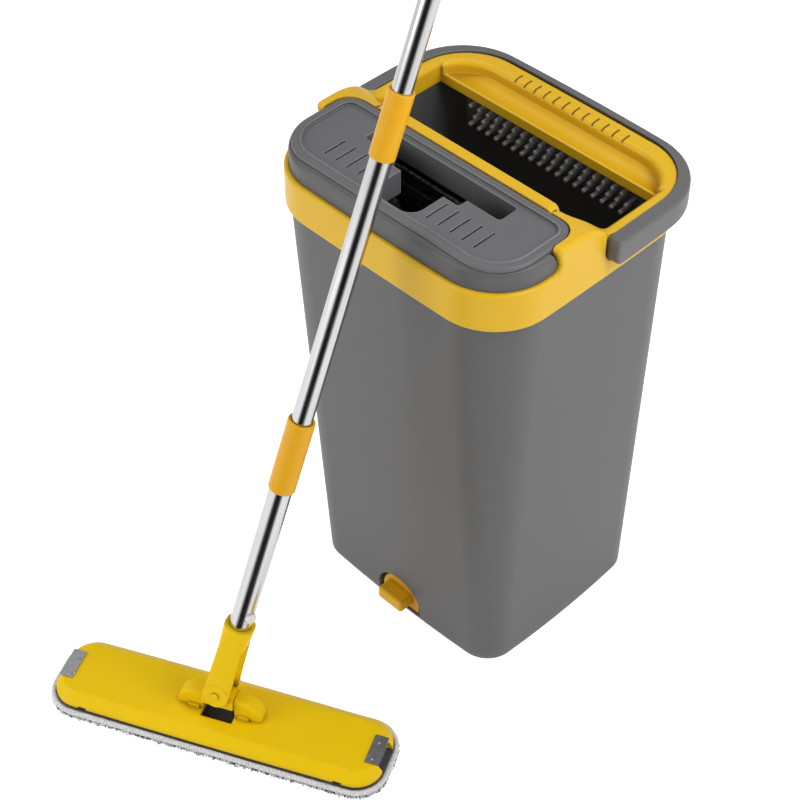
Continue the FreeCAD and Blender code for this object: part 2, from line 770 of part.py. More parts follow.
def make_lid():
    plate = lid_outline(0.0, lid_seat_z + seat_gap, border_top)
    top_edges = [e for e in plate.Edges if e.BoundBox.ZMin > border_top - 1e-3]
    plate = plate.makeFillet(lid_edge_round, top_edges)
    plate = plate.fuse(lid_outline(ridge_width - border_width, border_top - margin, lid_top))
    deck = lid_outline(-border_width, deck_top, lid_top + margin)
    plate = plate.cut(deck)
    under = lid_outline(-3.0, lid_seat_z - margin, deck_low)
    plate = plate.cut(under)
    well_low = lid_top - well_depth
    well = t_opening(well_wall, well_low, deck_low + 0.5)
    plate = plate.fuse(well)
    plate = plate.cut(t_opening(0.0, well_low - margin, lid_top + margin))
    for side in (-1, 1):
        for index in range(slit_count):
            x = side * (slit_first_x + index * slit_pitch)
            slit = rounded_prism(rectangle(x - slit_width / 2, x + slit_width / 2, slit_front, slit_back),
                                 [slit_width / 2 - 0.05] * 4, deck_low - margin, deck_top + margin)
            plate = plate.cut(slit)
    for x, y in post_places():
        post = rod(post_radius, Vector(x, y, frame_level()[1]), Vector(x, y, deck_low + 0.5))
        plate = plate.fuse(post)
        plate = plate.cut(rod(lid_screw_radius, Vector(x, y, frame_level()[1] - margin),
                              Vector(x, y, deck_low - 1.5)))
    return plate.removeSplitter()


def post_places():
    x = frame_half_x - frame_end_bar / 2.0
    rows = (frame_front + post_inset_front, frame_back - post_inset_back)
    return [(side * x, y) for side in (-1, 1) for y in rows]


def make_wringer_frame():
    low, high = frame_level()
    frame = box(-frame_half_x, frame_half_x, frame_front, frame_back, low, high)
    frame = frame.cut(box(-frame_half_x + frame_end_bar, frame_half_x - frame_end_bar,
                          frame_front + frame_front_bar, frame_back - frame_back_bar,
                          low - margin, high + margin))
    frame = frame.cut(box(-frame_gap_half_x, frame_gap_half_x, frame_front - margin,
                          frame_front + frame_front_bar + margin, low - margin, high + margin))
    for x, y in post_places():
        frame = frame.fuse(rod(post_radius, Vector(x, y, low), Vector(x, y, high)))
        frame = frame.cut(rod(lid_screw_radius + pin_gap, Vector(x, y, low - margin), Vector(x, y, high + margin)))
        frame = frame.cut(rod(lid_screw_head + pin_gap, Vector(x, y, low - margin), Vector(x, y, low + 8.0)))
    y, z = flap_pin_line()
    reach = frame_half_x - frame_end_bar + flap_pin_bite + seat_gap
    frame = frame.cut(rod(flap_pin_radius + 0.01, Vector(-reach, y, z), Vector(reach, y, z)))
    return frame


def make_lid_screws():
    low, high = frame_level()
    screws = []
    for x, y in post_places():
        shank = rod(lid_screw_radius, Vector(x, y, low + 7.0), Vector(x, y, deck_low - 2.0))
        head = rod(lid_screw_head, Vector(x, y, low + 5.6), Vector(x, y, low + 8.0))
        screws.append(shank.fuse(head).removeSplitter())
    return screws


def front_bar_y():
    return frame_front + frame_front_bar


def make_front_scrapers():
    low, high = frame_level()
    pieces = []
    for side in (-1, 1):
        near = side * frame_gap_half_x
        far = side * (frame_half_x - frame_end_bar)
        x0, x1 = min(near, far), max(near, far)
        pieces.append(box(x0 + seat_gap, x1 - seat_gap, front_bar_y(), front_bar_y() + scraper_depth,
                          low + 2.0, low + 2.0 + scraper_height))
    return pieces


def make_front_lips():
    low, high = frame_level()
    y = front_bar_y() + scraper_depth
    z = low + 2.0 + scraper_height / 2.0
    lips = []
    for side in (-1, 1):
        near = side * (frame_gap_half_x + 1.0)
        far = side * (frame_half_x - frame_end_bar - 1.0)
        lips.append(lip(min(near, far), max(near, far), y, z, 1))
    return lips


def lip(x0, x1, y, z, direction):
    """Rubber wiping lip on a face at y that bends down towards direction."""
    tip = y + direction * lip_reach
    points = [(y, z + 3.0), (y + direction * lip_thick, z + 3.0), (tip, z - lip_drop + 3.0),
              (tip - direction * lip_thick, z - lip_drop + 2.0), (y, z - 1.0)]
    corners = [Vector(x0, py, pz) for py, pz in points]
    return Part.Face(Part.makePolygon(corners + corners[:1])).extrude(Vector(x1 - x0, 0, 0))


def flap_pin_line():
    low, high = frame_level()
    return frame_back - frame_back_bar - flap_room - flap_thick / 2.0, high - flap_pin_drop


def make_scraper_flap():
    y, z = flap_pin_line()
    half = flap_thick / 2.0
    bar = box(-flap_half_x, flap_half_x, y - half, y + half, z - flap_drop, z)
    knuckle = rod(half, Vector(-flap_half_x, y, z), Vector(flap_half_x, y, z))
    flap = bar.fuse(knuckle)
    flap = flap.cut(rod(flap_pin_radius + pin_gap, Vector(-flap_half_x - 1, y, z), Vector(flap_half_x + 1, y, z)))
    for x in (-spring_offset_x, spring_offset_x):
        half_width = spring_length() / 2.0 + seat_gap
        flap = flap.cut(box(x - half_width, x + half_width, y - half - margin, y + half + margin,
                            z - spring_coil_radius - 1.2, z + half + margin))
    return flap.removeSplitter()


def make_flap_lip():
    y, z = flap_pin_line()
    return lip(-flap_half_x + 1.0, flap_half_x - 1.0, y - flap_thick / 2.0, z - flap_drop + lip_drop - 1.0, -1)


def make_flap_pin():
    y, z = flap_pin_line()
    reach = frame_half_x - frame_end_bar + flap_pin_bite
    return rod(flap_pin_radius, Vector(-reach, y, z), Vector(reach, y, z))


def spring_length():
    return spring_turns * spring_wire_radius * 2.0


def make_flap_springs():
    """Torsion springs on the pin: close-wound coil, one leg on the flap, one against the back bar."""
    y, z = flap_pin_line()
    half = spring_length() / 2.0
    springs = []
    for x in (-spring_offset_x, spring_offset_x):
        coil = tube(spring_coil_radius + spring_wire_radius, spring_coil_radius - spring_wire_radius,
                    Vector(x - half, y, z), Vector(x + half, y, z))
        leg_x = x + half - 2.0 * spring_wire_radius
        leg_y = y + flap_thick / 2.0 + spring_wire_radius
        flap_leg = rod(spring_wire_radius, Vector(leg_x, leg_y, z - spring_leg), Vector(leg_x, leg_y, z))
        back_x = x - half + 2.0 * spring_wire_radius
        back_leg = rod(spring_wire_radius, Vector(back_x, y, z + spring_coil_radius),
                       Vector(back_x, frame_back - frame_back_bar - run_gap, z + spring_coil_radius))
        springs.append(coil.fuse([flap_leg, back_leg]).removeSplitter())
    return springs


# ================================================================ drain plug
def make_drain_plug():
    inner = plug_pocket_y() - gasket_thick
    outer = inner - plug_flange_thick
    flange = plug_arch(0.0, pocket_web + run_gap, outer, inner)
    face = [e for e in flange.Edges if e.BoundBox.YMax < outer + 1e-3]
    flange = flange.makeFillet(plug_edge_round, face)
    stem = rod(plug_bore_radius, Vector(0, inner - 0.5, plug_bore_z),
               Vector(0, inner + plug_stem_length, plug_bore_z))
    grip = box(-grip_half_x, grip_half_x, outer - grip_proud, outer + 2.0 * margin, grip_low, grip_high)
    front = [e for e in grip.Edges if e.BoundBox.YMax < outer - grip_proud + 1e-3]
    upright = [e for e in grip.Edges if e.BoundBox.YLength > grip_proud]
    grip = grip.makeFillet(grip_round, front + upright)
    return flange.fuse([stem, grip]).removeSplitter()


def make_plug_gasket():
    seat = plug_pocket_y()
    return tube(plug_bore_radius + 5.0, plug_bore_radius + pin_gap,
                Vector(0, seat - gasket_thick, plug_bore_z), Vector(0, seat - seat_gap / 2, plug_bore_z))


# ================================================================ mop
def place_head(shape):
    """Move a piece from the head's own frame (u long, v short) to the bucket's frame."""
    moved = shape.copy()
    moved.rotate(ORIGIN, Z_AXIS, head_turn)
    moved.translate(Vector(mop_x, mop_y, 0))
    return moved


def place_yoke(shape):
    moved = shape.copy()
    moved.rotate(Vector(0, 0, roll_z), X_AXIS, -lean_roll)
    return place_head(moved)


def place_pole(shape):
    """Pole pieces are drawn upright with the pitch pin at their zero height."""
    moved = shape.copy()
    moved.rotate(ORIGIN, Y_AXIS, lean_pitch)
    moved.translate(Vector(0, 0, roll_z + pitch_axis_rise))
    return place_yoke(moved)


def outline_wire(half_u, half_v, corner, z):
    return bowed_wire(half_u, half_v, corner, 0.8, z)


def make_head_plate():
    half_u, half_v = plate_length / 2.0, plate_width / 2.0
    rim = Part.Face(outline_wire(half_u, half_v, plate_corner, plate_low)).extrude(Vector(0, 0, plate_rim_height))
    bevel = Part.makeLoft([
        outline_wire(half_u, half_v, plate_corner, plate_shoulder),
        outline_wire(half_u - plate_bevel * 0.5, half_v - plate_bevel, plate_corner - plate_bevel * 0.5, plate_top),
    ], True, True)
    plate = rim.fuse(bevel)
    # moulded underside: pockets between ribs, closed by the pad's backing
    pocket_u = half_u - 24.0
    pocket_v = hook_offset - hook_width / 2 - 2.0
    bay = 2.0 * pocket_u / rib_count
    for index in range(rib_count):
        u0 = -pocket_u + index * bay + rib_thick / 2.0
        pocket = box(u0, u0 + bay - rib_thick, -pocket_v, pocket_v,
                     plate_low - margin, plate_top - plate_wall)
        plate = plate.cut(pocket)
    # humps that carry the yoke on the long axis
    for side in (-1, 1):
        plate = plate.fuse(hump(side))
    # well under the fork, open to the top
    well = box(-hump_inner, hump_inner, -cheek_radius - 3.0, cheek_radius + 3.0, plate_low + 3.0, plate_top + 30)
    plate = plate.cut(well)
    for side in (-1, 1):
        plate = plate.fuse(hump(side))
        hole = rod(roll_pin_radius, Vector(side * (hump_inner - margin), 0, roll_z),
                   Vector(side * (hump_inner + roll_pin_bite), 0, roll_z))
        plate = plate.cut(hole)
        # end notch with its seat for the sheet clip
        end = side * half_u
        u0, u1 = min(end, end - side * clip_notch), max(end, end - side * clip_notch)
        plate = plate.cut(box(u0 - (margin if side < 0 else 0), u1 + (margin if side > 0 else 0),
                              -clip_length / 2 + 1.5, clip_length / 2 - 1.5, plate_low - margin, plate_top + margin))
    for u in (-half_u + 30.0, half_u - 30.0):
        plate = plate.cut(box(u - 3.5, u + 3.5, -half_v - margin, -half_v + 3.0, plate_low - margin,
                              plate_low + 2.2))
    return plate.removeSplitter()


def hump(side):
    """Quarter-round cheek beside the fork, with a small stiffening nub at its foot."""
    inner = side * hump_inner
    height = roll_z + hump_rise - plate_top
    start = Vector(inner, 0, plate_top - 2.0)
    top = Vector(inner, 0, plate_top + height)
    crest = Vector(inner + side * 4.0, 0, plate_top + height)
    toe = Vector(inner + side * hump_length, 0, plate_top)
    sweep_u = hump_length - 4.0
    mid = Vector(inner + side * (4.0 + sweep_u * math.sin(math.radians(45))), 0,
                 plate_top + height * math.cos(math.radians(45)) + 0.6)
    foot = Vector(inner + side * hump_length, 0, plate_top - 2.0)
    wire = Part.Wire([line(start, top), line(top, crest), arc(crest, mid, toe), line(toe, foot), line(foot, start)])
    body = Part.Face(wire).extrude(Vector(0, hump_thick, 0)).translate(Vector(0, -hump_thick / 2.0, 0))
    crown = [e for e in body.Edges if e.BoundBox.ZMin > plate_top - 1e-3 and e.BoundBox.YLength < 1e-3
             and e.BoundBox.XLength > 1.0]
    body = body.makeFillet(hump_round, crown)
    u0, u1 = sorted((inner + side * 3.0, inner + side * (3.0 + nub_length)))
    nub = box(u0, u1, -hump_thick / 2.0 - nub_proud, hump_thick / 2.0 + nub_proud, plate_top - 2.0,
              plate_top + nub_height)
    return body.fuse(nub).removeSplitter()


def make_head_clips():
    """Bent sheet clips over the end notches: a flat tongue with a leg turned down into the notch."""
    clips = []
    half_u = plate_length / 2.0
    for side in (-1, 1):
        outer = side * (half_u - 3.2)
        inner = outer - side * (clip_width + 3.0)
        u0, u1 = sorted((outer, inner))
        tongue = box(u0, u1, -clip_length / 2, clip_length / 2, plate_top + seat_gap / 2,
                     plate_top + seat_gap / 2 + clip_thick)
        leg_u0, leg_u1 = sorted((outer, outer - side * clip_thick))
        leg = box(leg_u0, leg_u1, -clip_length / 2 + 2.2, clip_length / 2 - 2.2,
                  plate_top - clip_leg, plate_top + clip_thick)
        clip = tongue.fuse(leg).removeSplitter()
        for v in (-8.0, 8.0):
            clip = clip.cut(rod(rivet_radius + pin_gap, Vector(rivet_u(side), v, plate_top - 1),
                                Vector(rivet_u(side), v, plate_top + 5)))
        clips.append(clip)
    return clips


def rivet_u(side):
    return side * (plate_length / 2.0 - 3.2 - clip_width)


def make_clip_rivets():
    rivets = []
    for side in (-1, 1):
        for v in (-8.0, 8.0):
            base = plate_top + seat_gap / 2 + clip_thick
            head = rod(rivet_radius * 1.7, Vector(rivet_u(side), v, base), Vector(rivet_u(side), v, base + rivet_head))
            shank = rod(rivet_radius, Vector(rivet_u(side), v, plate_top), Vector(rivet_u(side), v, base))
            rivets.append(head.fuse(shank).removeSplitter())
    return rivets


def make_hook_strips():
    strips = []
    for side in (-1, 1):
        v = side * hook_offset
        strips.append(box(-hook_length / 2, hook_length / 2, v - hook_width / 2, v + hook_width / 2,
                          pad_top, plate_low))
    return strips


def make_pad_layer(low, high, overhang):
    half_u = plate_length / 2.0 + overhang
    half_v = plate_width / 2.0 + overhang
    return Part.Face(outline_wire(half_u, half_v, plate_corner + overhang, low)).extrude(Vector(0, 0, high - low))


def make_roll_pins():
    pins = []
    for side in (-1, 1):
        start = side * (yoke_half_u - 6.0)
        end = side * (hump_inner + roll_pin_bite - 0.5)
        pins.append(rod(roll_pin_radius - 0.01, Vector(start, 0, roll_z), Vector(end, 0, roll_z)))
    return pins


def make_yoke():
    """Cross block: turns on the roll pins below, carries the pitch pin above."""
    low = roll_z - 6.0
    high = roll_z + pitch_axis_rise + 5.0
    block = box(-yoke_half_u, yoke_half_u, -yoke_half_v, yoke_half_v, low, roll_z + 5.5)
    upright = [e for e in block.Edges if e.BoundBox.XLength > yoke_half_u and e.BoundBox.ZLength < 1e-3]
    block = block.makeFillet(3.0, upright)
    neck = box(-6.5, 6.5, -yoke_half_v, yoke_half_v, roll_z, roll_z + pitch_axis_rise)
    eye = rod(6.5, Vector(0, -yoke_half_v, roll_z + pitch_axis_rise), Vector(0, yoke_half_v, roll_z + pitch_axis_rise))
    yoke = block.fuse([neck, eye])
    yoke = yoke.common(box(-30, 30, -30, 30, low, high + 2))
    for side in (-1, 1):
        yoke = yoke.cut(rod(roll_pin_radius + pin_gap, Vector(side * (yoke_half_u + 1), 0, roll_z),
                            Vector(side * (yoke_half_u - 6.5), 0, roll_z)))
    yoke = yoke.cut(rod(pitch_pin_radius + 0.01, Vector(0, -20, roll_z + pitch_axis_rise),
                        Vector(0, 20, roll_z + pitch_axis_rise)))
    return yoke.removeSplitter()


def make_pitch_pin():
    z = roll_z + pitch_axis_rise
    outer = yoke_half_v + run_gap + cheek_thick
    shaft = rod(pitch_pin_radius, Vector(0, -outer - 0.4, z), Vector(0, outer + 0.4, z))
    head = rod(pitch_head_radius, Vector(0, -outer - run_gap - pitch_head_thick, z), Vector(0, -outer - run_gap, z))
    tail = rod(pitch_head_radius, Vector(0, outer + run_gap, z), Vector(0, outer + run_gap + pitch_head_thick, z))
    return shaft.fuse([head, tail]).removeSplitter()


def make_fork():
    """Two cheeks round the yoke that close into the pole's socket; pitch pin at zero height."""
    inner_v = yoke_half_v + run_gap
    outer_v = inner_v + cheek_thick
    body = Part.makeLoft([
        fork_section(fork_half_u, outer_v, 3.0, 0.0),
        fork_section(fork_waist_u, outer_v - 0.5, 5.0, cheek_gap_top),
        fork_section(socket_radius, socket_radius - 0.3, 9.0, socket_top),
    ], True, True)
    foot = rod(cheek_radius, Vector(0, -outer_v, 0), Vector(0, outer_v, 0))
    body = body.fuse(foot)
    body = body.cut(box(-beyond, beyond, -inner_v, inner_v, -cheek_radius - margin, cheek_gap_top))
    bore = rod(lower_tube_radius + seat_gap / 2, pole_point(socket_bottom), pole_point(socket_top + margin))
    body = body.cut(bore)
    body = body.cut(rod(pitch_pin_radius + pin_gap, Vector(0, -outer_v - margin, 0), Vector(0, outer_v + margin, 0)))
    return body.removeSplitter()


def fork_section(half_u, half_v, corner, z):
    return bowed_wire(half_u, half_v, corner, 0.5, z)


def pole_point(height):
    return Vector(0, 0, height)


def make_lower_tube():
    body = tube(lower_tube_radius, lower_bore, pole_point(socket_bottom + 1.0), pole_point(lower_tube_top))
    return body.cut(turn_button(rod(button_radius + run_gap, Vector(0, 0, button_at), Vector(20, 0, button_at))))


def turn_button(shape):
    """Turn a piece drawn on +X about the pole to the side that the button faces."""
    return shape.rotate(ORIGIN, Z_AXIS, button_turn)


def make_snap_button():
    """Domed button that stands through the tube's wall."""
    face = lower_tube_radius + button_proud
    stem = rod(button_radius, Vector(lower_bore - button_body, 0, button_at), Vector(face, 0, button_at))
    edge = [e for e in stem.Edges if e.BoundBox.XMin > face - 1e-3]
    return turn_button(stem.makeFillet(button_edge_round, edge))


def make_button_spring():
    """Bent leaf behind the button; its far leg stays clear of the tube through the button's travel."""
    foot = lower_bore - button_body
    far = -lower_bore + button_travel + run_gap + 0.4
    top = button_at + spring_leaf_rise
    leaf = box(foot - button_spring_thick, foot, -2.0, 2.0, button_at - button_radius, top)
    back = box(far, far + button_spring_thick, -2.0, 2.0, button_at - spring_leaf_rise, top)
    bend = box(far, foot, -2.0, 2.0, top - button_spring_thick, top)
    return turn_button(leaf.fuse([back, bend]).removeSplitter())


def make_lock_sleeve():
    """Sleeve on the middle tube's foot, which runs in the lower tube."""
    low = mid_tube_foot - lock_length
    sleeve = rod(lower_bore - lock_gap, pole_point(low), pole_point(mid_tube_foot))
    stub = rod(mid_bore - pin_gap, pole_point(mid_tube_foot), pole_point(mid_tube_foot + lock_stub))
    groove = tube(lower_bore + margin, lower_bore - 1.8, pole_point(low + 8.0), pole_point(low + 11.0))
    return sleeve.fuse(stub).removeSplitter().cut(groove)


def pole_collar(start, length, radius):
    """Sleeve blank with softly rounded ends."""
    body = rod(radius, pole_point(start), pole_point(start + length))
    return body.makeFillet(1.2, [e for e in body.Edges if e.BoundBox.ZLength < 1e-3])


def make_lower_collar():
    top = lower_collar_at + lower_collar_length
    body = pole_collar(lower_collar_at, lower_collar_length, lower_collar_radius)
    body = body.cut(rod(lower_tube_radius + collar_gap, pole_point(lower_collar_at - margin),
                        pole_point(lower_tube_top + 0.5)))
    return body.cut(rod(mid_tube_radius + run_gap, pole_point(lower_tube_top), pole_point(top + margin)))


def make_mid_tube():
    return tube(mid_tube_radius, mid_bore, pole_point(mid_tube_foot), pole_point(coupling_middle))


def make_upper_collar():
    """Sleeve over the joint of the middle and the upper tube, stepped inside."""
    top = upper_collar_at + upper_collar_length
    body = pole_collar(upper_collar_at, upper_collar_length, upper_collar_radius)
    body = body.cut(rod(mid_tube_radius + 0.02, pole_point(upper_collar_at - margin), pole_point(coupling_middle + 0.2)))
    return body.cut(rod(upper_tube_radius + 0.02, pole_point(coupling_middle), pole_point(top + margin)))


def make_coupling_plug():
    half = coupling_length / 2.0
    plug = rod(upper_bore - pin_gap, pole_point(coupling_middle - half), pole_point(coupling_middle + half))
    return plug.makeFillet(1.0, [e for e in plug.Edges if e.BoundBox.ZLength < 1e-3])


def make_upper_tube():
    """Upper tube, its foot pushed into the middle tube."""
    return tube(upper_tube_radius, upper_bore, pole_point(coupling_middle - coupling_length / 2.0),
                pole_point(pole_end_at - 4.0))


def make_hand_grip():
    low = pole_end_at - hand_grip_length
    grip = rod(hand_grip_radius, pole_point(low), pole_point(pole_end_at))
    grip = grip.makeFillet(3.0, [e for e in grip.Edges if e.BoundBox.ZLength < 1e-3])
    for index in range(7):
        z = low + 18.0 + index * 14.0
        grip = grip.cut(tube(hand_grip_radius + margin, hand_grip_radius - 0.8, pole_point(z), pole_point(z + 3.0)))
    return grip.cut(rod(upper_tube_radius + 0.02, pole_point(low - margin), pole_point(pole_end_at + margin)))


def make_grip_cap():
    """Rounded cap pushed into the tube, with a hole to hang the mop by."""
    stem = rod(upper_bore - pin_gap, pole_point(pole_end_at - cap_stem), pole_point(pole_end_at))
    ear_radius = hand_grip_radius - 1.0
    half = cap_ear_thick / 2.0
    eye_z = pole_end_at + cap_eye_rise
    ear = rod(ear_radius, Vector(0, -half, eye_z), Vector(0, half, eye_z))
    ear = ear.fuse(box(-ear_radius, ear_radius, -half, half, pole_end_at, eye_z))
    disc = rod(hand_grip_radius - 0.5, pole_point(pole_end_at), pole_point(pole_end_at + 3.0))
    cap = stem.fuse([ear, disc])
    return cap.cut(rod(cap_hole_radius, Vector(0, -half - margin, eye_z), Vector(0, half + margin, eye_z)))


# ================================================================ write
def main():
    os.makedirs("parts", exist_ok=True)
    export("tub", make_tub())
    export("collar", make_collar())
    export("divider_bar", make_divider())
    export("brush_board", make_brush_board())
    export("brush_pegs", *make_brush_pegs())
    export("handle", make_handle())
    export("handle_pivots", *make_handle_pivots())
    export("lid", make_lid())
    export("wringer_frame", make_wringer_frame())
    export("lid_screws", *make_lid_screws())
    export("front_scrapers", *make_front_scrapers())
    export("front_lips", *make_front_lips())
    export("scraper_flap", make_scraper_flap())
    export("flap_lip", make_flap_lip())
    export("flap_pin", make_flap_pin())
    export("flap_springs", *make_flap_springs())
    export("drain_plug", make_drain_plug())
    export("plug_gasket", make_plug_gasket())
    export("head_plate", place_head(make_head_plate()))
    export("head_clips", *[place_head(s) for s in make_head_clips()])
    export("clip_rivets", *[place_head(s) for s in make_clip_rivets()])
    export("hook_strips", *[place_head(s) for s in make_hook_strips()])
    export("pad_backing", place_head(make_pad_layer(pad_fibre_height, pad_top, 0.0)))
    export("pad", place_head(make_pad_layer(0.0, pad_fibre_height, pad_overhang)))
    export("roll_pins", *[place_head(s) for s in make_roll_pins()])
    export("yoke", place_yoke(make_yoke()))
    export("pitch_pin", place_yoke(make_pitch_pin()))
    export("fork", place_pole(make_fork()))
    export("lower_tube", place_pole(make_lower_tube()))
    export("snap_button", place_pole(make_snap_button()))
    export("button_spring", place_pole(make_button_spring()))
    export("lock_sleeve", place_pole(make_lock_sleeve()))
    export("lower_collar", place_pole(make_lower_collar()))
    export("mid_tube", place_pole(make_mid_tube()))
    export("upper_collar", place_pole(make_upper_collar()))
    export("coupling_plug", place_pole(make_coupling_plug()))
    export("upper_tube", place_pole(make_upper_tube()))
    export("hand_grip", place_pole(make_hand_grip()))
    export("grip_cap", place_pole(make_grip_cap()))


main()
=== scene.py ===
"""Flat mop with a two-compartment wringer bucket: finishes, soft pad, camera and studio."""
import json
import logging
import math
import random
from dataclasses import dataclass, field
from enum import Enum

import bmesh
import bpy
from mathutils import Matrix, Vector, noise


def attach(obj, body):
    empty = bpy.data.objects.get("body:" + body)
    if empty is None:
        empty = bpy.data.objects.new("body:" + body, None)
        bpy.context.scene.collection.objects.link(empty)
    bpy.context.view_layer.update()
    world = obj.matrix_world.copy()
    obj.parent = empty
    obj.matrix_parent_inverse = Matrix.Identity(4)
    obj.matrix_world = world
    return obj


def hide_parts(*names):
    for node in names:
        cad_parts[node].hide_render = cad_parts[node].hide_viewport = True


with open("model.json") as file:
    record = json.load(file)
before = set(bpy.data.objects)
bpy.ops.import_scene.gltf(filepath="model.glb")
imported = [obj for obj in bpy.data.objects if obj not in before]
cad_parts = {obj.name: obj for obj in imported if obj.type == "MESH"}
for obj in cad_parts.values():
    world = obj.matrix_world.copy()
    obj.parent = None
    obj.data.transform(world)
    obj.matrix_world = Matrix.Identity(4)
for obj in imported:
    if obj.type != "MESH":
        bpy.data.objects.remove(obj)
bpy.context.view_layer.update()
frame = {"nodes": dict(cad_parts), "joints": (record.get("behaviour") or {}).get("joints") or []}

LOG = logging.getLogger("flat_mop_set")
MM = 0.001


# ---------------------------------------------------------------- shared helpers
def linear(colour: str) -> tuple[float, float, float, float]:
    """Turn an sRGB hex colour into linear RGBA.

    Args:
        colour: Six hex digits after a hash, such as "#6f6f70".

    Returns:
        Linear red, green, blue and an alpha of 1.
    """
    channels = []
    for start in (1, 3, 5):
        value = int(colour[start:start + 2], 16) / 255.0
        channels.append(value / 12.92 if value <= 0.04045 else ((value + 0.055) / 1.055) ** 2.4)
    return (channels[0], channels[1], channels[2], 1.0)


def add_node(tree: bpy.types.NodeTree, kind: str, settings: dict | None = None,
             inputs: dict | None = None) -> bpy.types.Node:
    """Add one shader node.

    Args:
        tree: Node tree that gets the node.
        kind: Blender's node type, such as "ShaderNodeTexNoise".
        settings: Node properties by name.
        inputs: Socket values by name or index; a socket given as the value is linked.

    Returns:
        The new node.
    """
    node = tree.nodes.new(kind)
    for name, value in (settings or {}).items():
        setattr(node, name, value)
    for key, value in (inputs or {}).items():
        socket = node.inputs[key]
        if isinstance(value, bpy.types.NodeSocket):
            tree.links.new(value, socket)
        else:
            socket.default_value = value
    return node


def new_tree(name: str) -> tuple[bpy.types.Material, bpy.types.NodeTree, bpy.types.Node,
                                 bpy.types.NodeSocket]:
    """Start a material with an empty tree.

    Args:
        name: Material name.

    Returns:
        The material, its tree, its output node and the object coordinates socket.
    """
    material = bpy.data.materials.new(name)
    material.use_nodes = True
    tree = material.node_tree
    tree.nodes.clear()
    output = add_node(tree, "ShaderNodeOutputMaterial")
    place = add_node(tree, "ShaderNodeTexCoord")
    return material, tree, output, place.outputs["Object"]


def colour_ramp(tree: bpy.types.NodeTree, factor: bpy.types.NodeSocket,
                stops: list[tuple[float, str]]) -> bpy.types.NodeSocket:
    """Map a factor through colour stops.

    Args:
        tree: Node tree.
        factor: Value to map.
        stops: Position and hex colour of each stop, in rising order.

    Returns:
        The ramp's colour socket.
    """
    ramp = add_node(tree, "ShaderNodeValToRGB", inputs={0: factor})
    elements = ramp.color_ramp.elements
    while len(elements) < len(stops):
        elements.new(0.5)
    for element, (position, colour) in zip(elements, stops):
        element.position = position
        element.color = linear(colour)
    return ramp.outputs[0]


def spread(tree: bpy.types.NodeTree, value: bpy.types.NodeSocket, low: float,
           high: float) -> bpy.types.NodeSocket:
    """Stretch a 0 to 1 value over another range.

    Args:
        tree: Node tree.
        value: Value between 0 and 1.
        low: Result at 0.
        high: Result at 1.

    Returns:
        The stretched value's socket.
    """
    node = add_node(tree, "ShaderNodeMapRange", inputs={0: value, 3: low, 4: high})
    return node.outputs[0]


def joint(name: str) -> dict:
    """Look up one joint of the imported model.

    Args:
        name: Joint name.

    Returns:
        The joint's entry.
    """
    return next(entry for entry in frame["joints"] if entry["name"] == name)


# ---------------------------------------------------------------- finishes
# Openness of the sky over a spot, from a shut hollow to open, and the most that the painted hollow tone takes
# over; that tone is painted shade where darker than the body and painted light where lighter.
SHUT_SKY, OPEN_SKY, PAINTED_HOLLOW_SHARE = 0.25, 0.85, 0.85
# Cosine between the softened and the true normal, on a flat face and on a rounded edge, and the share of the
# painted edge highlight.
FLAT_LEAN, HIGHLIGHT_LEAN, EDGE_HIGHLIGHT_SHARE = 0.995, 0.86, 0.7
# How far a moulding's roughness drifts either way.
GLOSS_DRIFT = 0.03
# A wave texture of this scale repeats once in every unit of length.
WAVE_SCALE = 0.31


class Sheen(Enum):
    """How shiny a moulded surface is left."""

    SATIN = 0.46
    SEMI_GLOSS = 0.33
    GLOSS = 0.18


